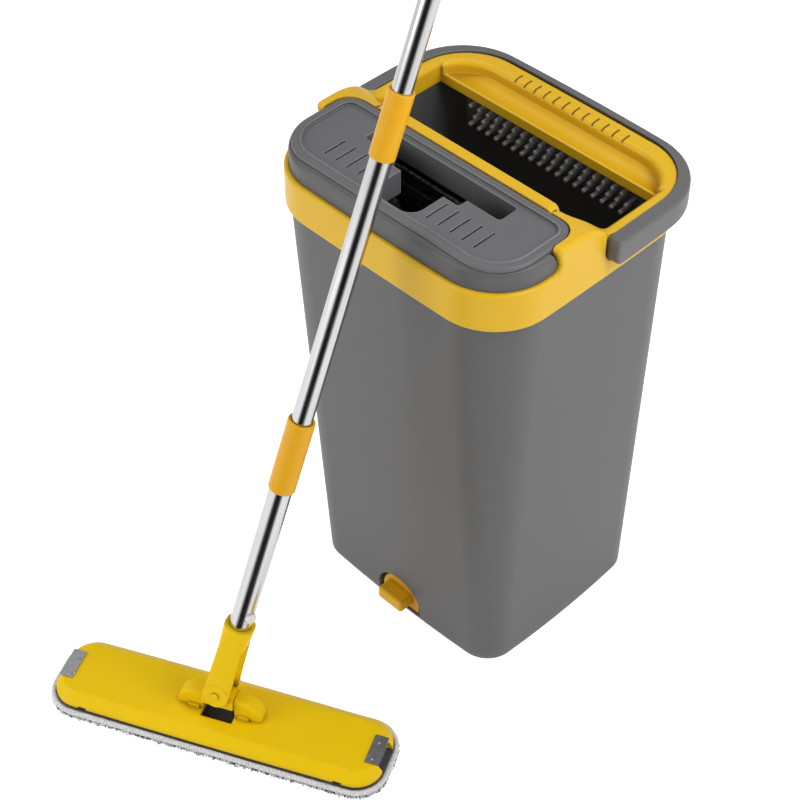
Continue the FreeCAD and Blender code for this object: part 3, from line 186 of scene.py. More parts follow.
@dataclass(frozen=True)
class MouldedPlastic:
    """Injection-moulded plastic with a fine spark-eroded grain and faint flow mottling.

    The body is one colour right through. Hollows get a painted tone keyed on ambient occlusion, painted shade
    where it is darker than the body and painted light where it is lighter; rounded edges get a painted highlight.
    """

    name: str
    body: str
    painted_hollow_tone: str
    edge_highlight: str
    sheen: Sheen
    grain_mm: float = 0.9
    grain_depth: float = 0.04
    flow_mm: float = 90.0
    flow: float = 0.03
    specular: float = 0.4
    edge_highlight_mm: float = 1.0
    painted_hollow_mm: float = 14.0

    def make(self) -> bpy.types.Material:
        """Build the material.

        Returns:
            The finished material.
        """
        material, tree, output, place = new_tree(self.name)
        # Painted tone in hollows from ambient occlusion: painted shade where darker than the body, painted light
        # where lighter.
        open_sky = add_node(tree, "ShaderNodeAmbientOcclusion", {"samples": 8},
                            {"Distance": self.painted_hollow_mm * MM})
        hollow_paint_share = add_node(tree, "ShaderNodeMapRange", inputs={
            0: open_sky.outputs["AO"], 1: SHUT_SKY, 2: OPEN_SKY, 3: PAINTED_HOLLOW_SHARE, 4: 0.0})
        hollow_painted = add_node(tree, "ShaderNodeMix", {"data_type": "RGBA"},
                         {0: hollow_paint_share.outputs[0], 6: linear(self.body), 7: linear(self.painted_hollow_tone)})
        # Painted highlight on rounded edges, where the bevel normal leans away from the true one.
        rounded = add_node(tree, "ShaderNodeBevel", {"samples": 4}, {"Radius": self.edge_highlight_mm * MM})
        flat = add_node(tree, "ShaderNodeNewGeometry")
        lean = add_node(tree, "ShaderNodeVectorMath", {"operation": "DOT_PRODUCT"},
                        {0: rounded.outputs[0], 1: flat.outputs["Normal"]})
        edge_highlight = add_node(tree, "ShaderNodeMapRange", inputs={
            0: lean.outputs["Value"], 1: FLAT_LEAN, 2: HIGHLIGHT_LEAN, 3: 0.0, 4: EDGE_HIGHLIGHT_SHARE})
        edge_highlighted = add_node(tree, "ShaderNodeMix", {"data_type": "RGBA"},
                        {0: edge_highlight.outputs[0], 6: hollow_painted.outputs[2], 7: linear(self.edge_highlight)})
        flow = add_node(tree, "ShaderNodeTexNoise", inputs={
            "Vector": place, "Scale": 1.0 / (self.flow_mm * MM), "Detail": 3.0, "Roughness": 0.55})
        mottle = add_node(tree, "ShaderNodeHueSaturation", inputs={
            "Value": spread(tree, flow.outputs[0], 1.0 - self.flow, 1.0 + self.flow), "Color": edge_highlighted.outputs[2]})
        grain = add_node(tree, "ShaderNodeTexNoise", inputs={
            "Vector": place, "Scale": 1.0 / (self.grain_mm * MM), "Detail": 2.0, "Roughness": 0.6})
        bump = add_node(tree, "ShaderNodeBump", inputs={
            "Strength": self.grain_depth, "Distance": 0.4 * MM, "Height": grain.outputs[0],
            "Normal": rounded.outputs[0]})
        gloss = spread(tree, flow.outputs[0], self.sheen.value - GLOSS_DRIFT, self.sheen.value + GLOSS_DRIFT)
        shader = add_node(tree, "ShaderNodeBsdfPrincipled", inputs={
            "Base Color": mottle.outputs[0], "Roughness": gloss, "Normal": bump.outputs[0],
            "IOR": 1.49, "Specular IOR Level": self.specular})
        tree.links.new(shader.outputs[0], output.inputs["Surface"])
        return material


@dataclass(frozen=True)
class DrawnSteelTube:
    """Thin stainless tube, drawn and polished: mirror-like, with faint lines along its length."""

    name: str
    bright: str
    drawn: str
    axis: tuple[float, float, float]
    roughness: float = 0.18
    line_mm: float = 0.8

    def make(self) -> bpy.types.Material:
        """Build the material.

        Returns:
            The finished material.
        """
        material, tree, output, place = new_tree(self.name)
        turn = Vector(self.axis).rotation_difference(Vector((0, 0, 1))).to_euler()
        upright = add_node(tree, "ShaderNodeVectorRotate", {"rotation_type": "EULER_XYZ"},
                           {"Vector": place, "Rotation": turn})
        squeeze = add_node(tree, "ShaderNodeVectorMath", {"operation": "MULTIPLY"},
                           {0: upright.outputs[0], 1: (1.0, 1.0, 0.01)})
        lines = add_node(tree, "ShaderNodeTexNoise", inputs={
            "Vector": squeeze.outputs[0], "Scale": 1.0 / (self.line_mm * MM), "Detail": 2.0})
        bump = add_node(tree, "ShaderNodeBump", inputs={
            "Strength": 0.04, "Distance": 0.1 * MM, "Height": lines.outputs[0]})
        smear = add_node(tree, "ShaderNodeTexNoise", inputs={
            "Vector": place, "Scale": 1.0 / (35.0 * MM), "Detail": 3.0})
        rough = spread(tree, smear.outputs[0], self.roughness - 0.04, self.roughness + 0.05)
        tint = colour_ramp(tree, lines.outputs[0], [(0.3, self.drawn), (0.7, self.bright)])
        shader = add_node(tree, "ShaderNodeBsdfPrincipled", inputs={
            "Base Color": tint, "Metallic": 1.0, "Roughness": rough, "Normal": bump.outputs[0]})
        tree.links.new(shader.outputs[0], output.inputs["Surface"])
        return material


@dataclass(frozen=True)
class StampedSteel:
    """Sheet or wire steel, plated and tumbled: bright, with fine random scratches."""

    name: str
    tint: str
    dull: str
    roughness: float = 0.3
    scratch_mm: float = 1.4
    relief: float = 0.1

    def make(self) -> bpy.types.Material:
        """Build the material.

        Returns:
            The finished material.
        """
        material, tree, output, place = new_tree(self.name)
        stretch = add_node(tree, "ShaderNodeVectorMath", {"operation": "MULTIPLY"},
                           {0: place, 1: (1.0, 0.12, 1.0)})
        scratch = add_node(tree, "ShaderNodeTexNoise", inputs={
            "Vector": stretch.outputs[0], "Scale": 1.0 / (self.scratch_mm * MM), "Detail": 4.0, "Roughness": 0.7})
        tint = colour_ramp(tree, scratch.outputs[0], [(0.35, self.dull), (0.6, self.tint)])
        rough = spread(tree, scratch.outputs[0], self.roughness - 0.08, self.roughness + 0.1)
        bump = add_node(tree, "ShaderNodeBump", inputs={
            "Strength": self.relief, "Distance": 0.1 * MM, "Height": scratch.outputs[0]})
        shader = add_node(tree, "ShaderNodeBsdfPrincipled", inputs={
            "Base Color": tint, "Metallic": 1.0, "Roughness": rough, "Normal": bump.outputs[0]})
        tree.links.new(shader.outputs[0], output.inputs["Surface"])
        return material


@dataclass(frozen=True)
class Elastomer:
    """Moulded rubber or soft TPE: dark, dull and mottled at random with a faint dust tone."""

    name: str
    body: str
    dust: str
    rib_mm: float = 0.0
    lump_mm: float = 0.0
    roughness: float = 0.6

    def make(self) -> bpy.types.Material:
        """Build the material.

        Returns:
            The finished material.
        """
        material, tree, output, place = new_tree(self.name)
        mottle = add_node(tree, "ShaderNodeTexNoise", inputs={
            "Vector": place, "Scale": 1.0 / (4.0 * MM), "Detail": 4.0})
        tint = colour_ramp(tree, mottle.outputs[0], [(0.35, self.body), (0.75, self.dust)])
        height = mottle.outputs[0]
        strength = 0.1
        if self.rib_mm:
            ribs = add_node(tree, "ShaderNodeTexWave", {"wave_type": "BANDS", "bands_direction": "X"}, {
                "Vector": place, "Scale": WAVE_SCALE / (self.rib_mm * MM), "Distortion": 1.5, "Detail": 2.0})
            height = ribs.outputs[1]
            strength = 0.8
        if self.lump_mm:
            lumps = add_node(tree, "ShaderNodeTexVoronoi", {"feature": "F1"}, {
                "Vector": place, "Scale": 1.0 / (self.lump_mm * MM), "Randomness": 1.0})
            height = lumps.outputs[0]
            strength = 1.0
        bump = add_node(tree, "ShaderNodeBump", inputs={
            "Strength": strength, "Distance": 0.6 * MM, "Height": height})
        shader = add_node(tree, "ShaderNodeBsdfPrincipled", inputs={
            "Base Color": tint, "Roughness": self.roughness, "Normal": bump.outputs[0], "IOR": 1.5})
        tree.links.new(shader.outputs[0], output.inputs["Surface"])
        return material


@dataclass(frozen=True)
class Microfibre:
    """Looped polyester pile: pale yarn with painted shade in the gaps between loops and a soft sheen at grazing
    angles.
    """

    name: str
    yarn: str
    gap_shade: str
    loop_mm: float = 2.2
    sheen: float = 0.35

    def make(self) -> bpy.types.Material:
        """Build the material.

        Returns:
            The finished material.
        """
        material, tree, output, place = new_tree(self.name)
        loops = add_node(tree, "ShaderNodeTexVoronoi", {"feature": "SMOOTH_F1"}, {
            "Vector": place, "Scale": 1.0 / (self.loop_mm * MM), "Smoothness": 0.4})
        fuzz = add_node(tree, "ShaderNodeTexNoise", inputs={
            "Vector": place, "Scale": 1.0 / (0.7 * MM), "Detail": 3.0})
        both = add_node(tree, "ShaderNodeMath", {"operation": "MULTIPLY_ADD"},
                        {0: fuzz.outputs[0], 1: 0.45, 2: loops.outputs[0]})
        # The gap colour is painted shade between the loops.
        tint = colour_ramp(tree, both.outputs[0], [(0.35, self.yarn), (0.95, self.gap_shade)])
        bump = add_node(tree, "ShaderNodeBump", {"invert": True}, {
            "Strength": 0.7, "Distance": 0.8 * MM, "Height": both.outputs[0]})
        shader = add_node(tree, "ShaderNodeBsdfPrincipled", inputs={
            "Base Color": tint, "Roughness": 0.9, "Normal": bump.outputs[0],
            "Sheen Weight": self.sheen, "Sheen Roughness": 0.4})
        tree.links.new(shader.outputs[0], output.inputs["Surface"])
        return material


@dataclass(frozen=True)
class WovenTape:
    """Woven cloth or hook tape: crossing threads, with painted shade in the gaps between them.

    The real threads lie a fraction of a millimetre apart and are drawn at 1 mm, so that they show.
    """

    name: str
    thread: str
    gap_shade: str
    pitch_mm: float = 1.0

    def make(self) -> bpy.types.Material:
        """Build the material.

        Returns:
            The finished material.
        """
        material, tree, output, place = new_tree(self.name)
        scale = WAVE_SCALE / (self.pitch_mm * MM)
        warp = add_node(tree, "ShaderNodeTexWave", {"bands_direction": "X"}, {"Vector": place, "Scale": scale})
        weft = add_node(tree, "ShaderNodeTexWave", {"bands_direction": "Y"}, {"Vector": place, "Scale": scale})
        weave = add_node(tree, "ShaderNodeMath", {"operation": "MULTIPLY"},
                         {0: warp.outputs[1], 1: weft.outputs[1]})
        # The gap colour is painted shade between the threads.
        tint = colour_ramp(tree, weave.outputs[0], [(0.0, self.gap_shade), (0.6, self.thread)])
        bump = add_node(tree, "ShaderNodeBump", inputs={
            "Strength": 0.5, "Distance": 0.3 * MM, "Height": weave.outputs[0]})
        shader = add_node(tree, "ShaderNodeBsdfPrincipled", inputs={
            "Base Color": tint, "Roughness": 0.85, "Normal": bump.outputs[0], "Sheen Weight": 0.2})
        tree.links.new(shader.outputs[0], output.inputs["Surface"])
        return material


# The pole's line, from the collar twist joint that turns about it.
POLE_AXIS = tuple(joint("collar_twist")["axis"])

# Grey polypropylene, injection moulded: broad, even satin faces, with painted light in its hollows and a painted
# highlight on its edges.
TUB_POLYPROPYLENE = MouldedPlastic("grey_polypropylene_tub", "#5c5c5d", "#737374", "#727273", Sheen.SATIN)
# The lid's polypropylene is a shade darker, with painted shade in its hollows and a crisper painted highlight on
# its moulded edges.
LID_POLYPROPYLENE = MouldedPlastic("grey_polypropylene_lid", "#68686a", "#3e3e3f", "#bcbcbd",
                                   Sheen.SATIN, flow_mm=60.0, painted_hollow_mm=8.0, edge_highlight_mm=0.9)
# Grey polypropylene for the strap: smoother, with a painted highlight along its rounded edge and painted shade in
# its hollows.
HANDLE_POLYPROPYLENE = MouldedPlastic("grey_polypropylene_handle", "#676768", "#3a3a3b", "#9c9c9d",
                                      Sheen.SATIN, painted_hollow_mm=6.0)
# Yellow polypropylene: warm yellow, with painted shade deepening its hollows and a soft painted highlight along
# the rim.
COLLAR_POLYPROPYLENE = MouldedPlastic("yellow_polypropylene_collar", "#e4b61f", "#b98a0c", "#fbe27c",
                                      Sheen.SEMI_GLOSS, specular=0.3, painted_hollow_mm=22.0)
# Saturated yellow ABS for the mop plate and fork: even colour, tight highlight, with painted shade in its hollows
# and a painted highlight on its edges.
MOP_ABS = MouldedPlastic("yellow_abs_mop", "#f3ca03", "#8a6406", "#f8d838", Sheen.SATIN,
                         grain_mm=1.4, painted_hollow_mm=6.0, specular=0.15)
# Golden-orange ABS for the pole's collars, with painted shade in its hollows and a painted highlight on its edges.
GOLD_ABS = MouldedPlastic("golden_abs", "#eaac16", "#a07012", "#f2c450", Sheen.SEMI_GLOSS,
                          specular=0.25, painted_hollow_mm=6.0)
# The drain plug's ABS is the same gold, dulled where it is handled, with painted shade in its hollows and a
# painted highlight on its edges.
PLUG_ABS = MouldedPlastic("golden_abs_plug", "#e0a71a", "#8a600c", "#eec04c", Sheen.SATIN,
                          specular=0.25, painted_hollow_mm=6.0)
# Black polypropylene of the wringer: almost lost in the dark below the lid, with painted shade in its hollows and
# a painted highlight on its edges.
BLACK_POLYPROPYLENE = MouldedPlastic("black_polypropylene", "#1c1c1d", "#0c0c0d", "#38383a", Sheen.SATIN)
# Charcoal polypropylene of the scrubbing board, a shade lighter than the tub's inside in shadow, with painted
# shade in its hollows and a painted highlight on its edges.
BOARD_POLYPROPYLENE = MouldedPlastic("charcoal_polypropylene_board", "#5e5e60", "#3a3a3b", "#7a7a7b",
                                     Sheen.SATIN, painted_hollow_mm=6.0)
# White acetal snap button, polished by the mould, with painted shade in its hollows and a painted highlight on its
# edges.
BUTTON_ACETAL = MouldedPlastic("white_acetal_button", "#e6e6e3", "#b0b0ac", "#f6f6f4", Sheen.GLOSS,
                               edge_highlight_mm=0.4, painted_hollow_mm=3.0)
# Polished stainless tube of the pole.
POLE_STEEL = DrawnSteelTube("stainless_drawn_tube", "#d2d2d4", "#bebec1", POLE_AXIS)
# Nickel-plated pin and screw steel.
PIN_STEEL = StampedSteel("nickel_plated_steel", "#c9c9c8", "#9a9a9a")
# Spring wire, painted near black to stand in for the slot's shade, and dull there.
SPRING_STEEL = StampedSteel("spring_wire_painted_dark", "#3c3c3e", "#202022", roughness=0.42)
# Stamped steel clips on the plate's ends: polished flat, with a few handling scratches.
CLIP_STEEL = StampedSteel("stamped_sheet_steel", "#c4c4c6", "#b8b8ba", roughness=0.22, scratch_mm=0.8, relief=0.03)
# Black rubber wiping lips and washer.
LIP_RUBBER = Elastomer("black_rubber_lip", "#141414", "#242424", rib_mm=2.4)
# The flap's rubber is moulded with a coarse crushed grain that glints.
FLAP_RUBBER = Elastomer("black_crushed_grain_rubber", "#0a0a0a", "#202020", roughness=0.3, lump_mm=1.9)
# Soft charcoal pegs of the scrubbing board, painted pale grey to stand in for light reaching them in the tub's
# shade.
PEG_ELASTOMER = Elastomer("charcoal_elastomer_pegs", "#a6a6a9", "#b8b8bb", roughness=0.4)
# Looped pile of the pad, in pale yarn with dark tufts between, and painted shade in the gaps between loops.
PAD_PILE = Microfibre("polyester_looped_pile", "#fafafa", "#c0c0c4")
TUFT_PILE = Microfibre("polyester_dark_tufts", "#8e8f94", "#3e3f44")
# Knitted piping sewn round the pad's rim, with painted shade in the gaps between its loops.
PAD_PIPING = Microfibre("knitted_pad_piping", "#fbfbfb", "#cacacd", loop_mm=1.1, sheen=0.2)
# Cloth backing that shows as a thin line between pad and plate, with painted shade between its threads.
PAD_BACKING = WovenTape("woven_pad_backing", "#5c606c", "#30323c")
# Black hook tape that holds the pad, with painted shade between its threads.
HOOK_TAPE = WovenTape("black_hook_tape", "#1c1c1e", "#0a0a0b")


Finish = MouldedPlastic | DrawnSteelTube | StampedSteel | Elastomer | Microfibre | WovenTape


def dress(node: str, finish: Finish) -> None:
    """Give a CAD node its finish in every slot.

    Args:
        node: CAD node's name.
        finish: A finish with a make method.
    """
    piece = frame["nodes"][node]
    material = bpy.data.materials.get(finish.name) or finish.make()
    if not piece.material_slots:
        piece.data.materials.append(material)
    for slot in piece.material_slots:
        slot.material = material
    LOG.info("dressed %s in %s", node, finish.name)


# ---------------------------------------------------------------- sub-assemblies
@dataclass
class Assembly:
    """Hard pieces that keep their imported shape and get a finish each."""

    finishes: dict[str, Finish]

    def dress(self) -> None:
        """Finish every piece, in order."""
        for node, finish in self.finishes.items():
            dress(node, finish)


@dataclass
class Bucket(Assembly):
    """Tub, collar, scrubbing board and strap handle."""

    finishes: dict[str, Finish] = field(default_factory=lambda: {
        "tub": TUB_POLYPROPYLENE,
        "collar": COLLAR_POLYPROPYLENE,
        "divider_bar": COLLAR_POLYPROPYLENE,
        "brush_board": BOARD_POLYPROPYLENE,
        "brush_pegs": PEG_ELASTOMER,
        "handle": HANDLE_POLYPROPYLENE,
        "handle_pivots": HANDLE_POLYPROPYLENE,
        "drain_plug": PLUG_ABS,
        "plug_gasket": LIP_RUBBER,
    })


@dataclass
class LidAndWringer(Assembly):
    """Lid with its slot and the wringer that hangs below it."""

    finishes: dict[str, Finish] = field(default_factory=lambda: {
        "lid": LID_POLYPROPYLENE,
        "wringer_frame": BLACK_POLYPROPYLENE,
        "lid_screws": PIN_STEEL,
        "front_scrapers": BLACK_POLYPROPYLENE,
        "front_lips": LIP_RUBBER,
        "scraper_flap": FLAP_RUBBER,
        "flap_lip": FLAP_RUBBER,
        "flap_pin": SPRING_STEEL,
        "flap_springs": SPRING_STEEL,
    })


@dataclass
class MopHead(Assembly):
    """Plate, swivel and clips, with the hook tape and cloth backing under them."""

    finishes: dict[str, Finish] = field(default_factory=lambda: {
        "head_plate": MOP_ABS,
        "head_clips": CLIP_STEEL,
        "clip_rivets": CLIP_STEEL,
        "hook_strips": HOOK_TAPE,
        "pad_backing": PAD_BACKING,
        "roll_pins": PIN_STEEL,
        "yoke": MOP_ABS,
        "pitch_pin": MOP_ABS,
        "fork": MOP_ABS,
    })


@dataclass
class MopPad:
    """Looped microfibre pad: crowned body, knitted piping round its rim and loops of pile.

    The outline follows the cloth backing, so it needs no place of its own.
    """

    corner_mm: float = 22.0
    piping_mm: float = 2.1
    piping_sides: int = 12
    loop_steps: int = 9
    yarn_sides: int = 5
    loop_pitch_mm: float = 5.5
    loops_along: int = 24
    loops_across: int = 5
    dark_at_rim: float = 0.3
    dark_below: float = 0.25
    seed: int = 7
    along: Vector = field(init=False)
    across: Vector = field(init=False)
    middle: Vector = field(init=False)
    half_length: float = field(init=False)
    half_width: float = field(init=False)
    underside: float = field(init=False)

    def __post_init__(self) -> None:
        """Measure the backing along and across the mop's long axis."""
        self.along = Vector(joint("head_roll")["axis"]).normalized()
        self.across = Vector((0.0, 0.0, 1.0)).cross(self.along)
        corners = [vertex.co for vertex in frame["nodes"]["pad_backing"].data.vertices]
        lengths = [corner.dot(self.along) for corner in corners]
        widths = [corner.dot(self.across) for corner in corners]
        self.half_length = (max(lengths) - min(lengths)) / 2.0
        self.half_width = (max(widths) - min(widths)) / 2.0
        self.middle = (self.along * (max(lengths) + min(lengths))
                       + self.across * (max(widths) + min(widths))) / 2.0
        self.underside = min(corner.z for corner in corners)

    def rim(self, grow_mm: float, step_mm: float) -> list[tuple[Vector, Vector]]:
        """Walk round the rounded outline.

        Args:
            grow_mm: How far outside the backing the walk runs.
            step_mm: Wanted distance between points.

        Returns:
            Points at zero height with their outward directions.
        """
        radius = (self.corner_mm + grow_mm) * MM
        long_half = self.half_length + grow_mm * MM - radius
        wide_half = self.half_width + grow_mm * MM - radius
        spots = []
        quarters = ((1, 1, 0.0), (-1, 1, 90.0), (-1, -1, 180.0), (1, -1, 270.0))
        for index, (u_sign, v_sign, start) in enumerate(quarters):
            centre_u, centre_v = u_sign * long_half, v_sign * wide_half
            count = max(4, round(radius * math.pi / 2.0 / (step_mm * MM)))
            for turn in range(count):
                angle = math.radians(start + 90.0 * turn / count)
                spots.append((centre_u + radius * math.cos(angle), centre_v + radius * math.sin(angle), angle))
            angle = math.radians(start + 90.0)
            next_u, next_v, unused = quarters[(index + 1) % 4]
            run = Vector((next_u * long_half - centre_u, next_v * wide_half - centre_v))
            count = max(1, round(run.length / (step_mm * MM)))
            for turn in range(count):
                spot = Vector((centre_u, centre_v)) + run * (turn / count)
                spots.append((spot.x + radius * math.cos(angle), spot.y + radius * math.sin(angle), angle))
        return [(self.middle + self.along * u + self.across * v,
                 self.along * math.cos(angle) + self.across * math.sin(angle)) for u, v, angle in spots]

    def add_piece(self, name: str, form: bmesh.types.BMesh, finish: Finish) -> bpy.types.Object:
        """Turn a bmesh into a smooth piece that rides with the mop head.

        Args:
            name: Piece name.
            form: Its shape; freed here.
            finish: Its finish.

        Returns:
            The new piece.
        """
        bmesh.ops.recalc_face_normals(form, faces=form.faces)
        mesh = bpy.data.meshes.new(name)
        form.to_mesh(mesh)
        form.free()
        for polygon in mesh.polygons:
            polygon.use_smooth = True
        mesh.materials.append(bpy.data.materials.get(finish.name) or finish.make())
        piece = bpy.data.objects.new(name, mesh)
        bpy.context.scene.collection.objects.link(piece)
        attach(piece, "mop_head_body")
        LOG.info("%s: %d vertices", name, len(mesh.vertices))
        return piece

    def bridge(self, form: bmesh.types.BMesh, rings: list[list[bmesh.types.BMVert]], closed: bool) -> None:
        """Join neighbouring rings of vertices with quads.

        Args:
            form: Shape that holds the vertices.
            rings: Rings of equal length.
            closed: Whether the last ring joins the first.
        """
        count = len(rings)
        for index in range(count if closed else count - 1):
            one, other = rings[index], rings[(index + 1) % count]
            for step in range(len(one)):
                after = (step + 1) % len(one)
                form.faces.new((one[step], one[after], other[after], other[step]))

    def build_body(self) -> bpy.types.Object:
        """Crowned body between the backing and the floor, pulled in at the piping's seam.

        Returns:
            The body piece.
        """
        top = self.underside
        # Growth beyond the backing in millimetres, and height as a share of the pad's thickness.
        section = ((-26.0, 0.98), (-12.0, 0.98), (-3.0, 0.97), (0.2, 0.90), (1.9, 0.72), (2.9, 0.52),
                   (2.4, 0.30), (0.6, 0.17), (-5.0, 0.13), (-14.0, 0.12), (-26.0, 0.12))
        form = bmesh.new()
        rings = []
        for grow, height in section:
            ring = []
            for place, outward in self.rim(0.0, 3.0):
                swell = noise.noise(place / (9.0 * MM)) * 0.5
                spot = place + outward * ((grow + (swell if grow > 0.0 else 0.0)) * MM)
                ring.append(form.verts.new((spot.x, spot.y, top * height)))
            rings.append(ring)
        self.bridge(form, rings, False)
        form.faces.new(rings[0])
        form.faces.new(rings[-1])
        return self.add_piece("pad_body", form, PAD_PILE)

    def build_piping(self) -> bpy.types.Object:
        """Knitted cord sewn round the rim, a little uneven along its run.

        Returns:
            The piping piece.
        """
        form = bmesh.new()
        rings = []
        for place, outward in self.rim(2.3, 1.5):
            thick = self.piping_mm * (1.0 + 0.10 * noise.noise(place / (6.0 * MM))) * MM
            rise = self.underside - 0.4 * MM + 0.5 * MM * noise.noise(place / (30.0 * MM))
            middle = place + Vector((0.0, 0.0, rise))
            ring = []
            for step in range(self.piping_sides):
                angle = math.tau * step / self.piping_sides
                rib = 1.0 + 0.04 * math.cos(3.0 * angle)
                spot = middle + outward * (math.cos(angle) * thick * rib)
                ring.append(form.verts.new((spot.x, spot.y, middle.z + math.sin(angle) * thick * rib)))
            rings.append(ring)
        self.bridge(form, rings, True)
        return self.add_piece("pad_piping", form, PAD_PIPING)

    def add_loop(self, form: bmesh.types.BMesh, place: Vector, lie: Vector, size: float, thick: float) -> None:
        """Add one loop of yarn.

        Args:
            form: Shape that gets the loop.
            place: The loop's middle.
            lie: Direction square to the loop.
            size: Radius of the loop in metres.
            thick: Radius of the yarn in metres.
        """
        turn = lie.to_track_quat("Z", "Y").to_matrix()
        rings = []
        for step in range(self.loop_steps):
            angle = math.tau * step / self.loop_steps
            out = Vector((math.cos(angle), 1.25 * math.sin(angle), 0.0))
            ring = []
            for side in range(self.yarn_sides):
                tilt = math.tau * side / self.yarn_sides
                spot = out * (size + thick * math.cos(tilt)) + Vector((0.0, 0.0, thick * math.sin(tilt)))
                spot = place + turn @ spot
                ring.append(form.verts.new((spot.x, spot.y, max(spot.z, 0.15 * MM))))
            rings.append(ring)
        self.bridge(form, rings, True)

    def build_pile(self) -> list[bpy.types.Object]:
        """Loops of yarn round the rim and over the underside, pale with dark tufts between.

        Returns:
            The pale and the dark pieces.
        """
        dice = random.Random(self.seed)
        pale, dark = bmesh.new(), bmesh.new()
        # Growth in millimetres, height as a share of the pad's thickness, and spacing in millimetres.
        rows = ((1.2, 0.60, 2.3), (2.5, 0.45, 2.2), (3.0, 0.28, 2.3), (1.6, 0.16, 2.6))
        for grow, height, step in rows:
            for place, outward in self.rim(grow, step):
                spot = place + outward * (dice.uniform(-0.5, 0.7) * MM)
                spot.z = self.underside * height + dice.uniform(-0.4, 0.4) * MM
                lie = outward.cross(Vector((0, 0, 1))) + Vector([dice.uniform(-0.8, 0.8) for unused in range(3)])
                form = dark if dice.random() < self.dark_at_rim else pale
                self.add_loop(form, spot, lie, dice.uniform(0.9, 1.4) * MM, dice.uniform(0.38, 0.5) * MM)
        pitch = self.loop_pitch_mm * MM
        for u_step in range(-self.loops_along, self.loops_along + 1):
            for v_step in range(-self.loops_across, self.loops_across + 1):
                u = u_step * pitch + dice.uniform(-1.2, 1.2) * MM
                v = v_step * pitch + dice.uniform(-1.2, 1.2) * MM
                spot = self.middle + self.along * u + self.across * v
                spot.z = dice.uniform(0.9, 1.6) * MM
                lie = Vector([dice.uniform(-1.0, 1.0) for unused in range(2)] + [0.3])
                form = dark if dice.random() < self.dark_below else pale
                self.add_loop(form, spot, lie, dice.uniform(1.2, 1.6) * MM, 0.5 * MM)
        return [self.add_piece("pad_pile_pale", pale, PAD_PILE), self.add_piece("pad_pile_dark", dark, TUFT_PILE)]

    def build(self) -> None:
        """Make the pad and let it stand for the CAD's plain pad."""
        body = self.build_body()
        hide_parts("pad")
        self.build_piping()
        self.build_pile()


@dataclass
class Pole(Assembly):
    """Telescopic steel pole with its collars, grip and cap."""

    finishes: dict[str, Finish] = field(default_factory=lambda: {
        "lower_tube": POLE_STEEL,
        "mid_tube": POLE_STEEL,
        "upper_tube": POLE_STEEL,
        "snap_button": BUTTON_ACETAL,
        "button_spring": PIN_STEEL,
        "lock_sleeve": BLACK_POLYPROPYLENE,
        "lower_collar": GOLD_ABS,
        "upper_collar": GOLD_ABS,
        "coupling_plug": BLACK_POLYPROPYLENE,
        "hand_grip": BLACK_POLYPROPYLENE,
        "grip_cap": GOLD_ABS,
    })


# ---------------------------------------------------------------- studio
@dataclass(frozen=True)
class SoftBox:
    """One rectangular studio light."""

    name: str
    place: tuple[float, float, float]
    aim: tuple[float, float, float]
    size: tuple[float, float]
    watts: float

    def build(self) -> None:
        """Hang the light and point it."""
        data = bpy.data.lights.new(self.name, "AREA")
        data.shape = "RECTANGLE"
        data.size, data.size_y = self.size
        data.energy = self.watts
        lamp = bpy.data.objects.new(self.name, data)
        lamp.location = self.place
        lamp.rotation_euler = (Vector(self.aim) - Vector(self.place)).to_track_quat("-Z", "Y").to_euler()
        lamp.visible_camera = False
        bpy.context.scene.collection.objects.link(lamp)
        LOG.info("light %s", self.name)


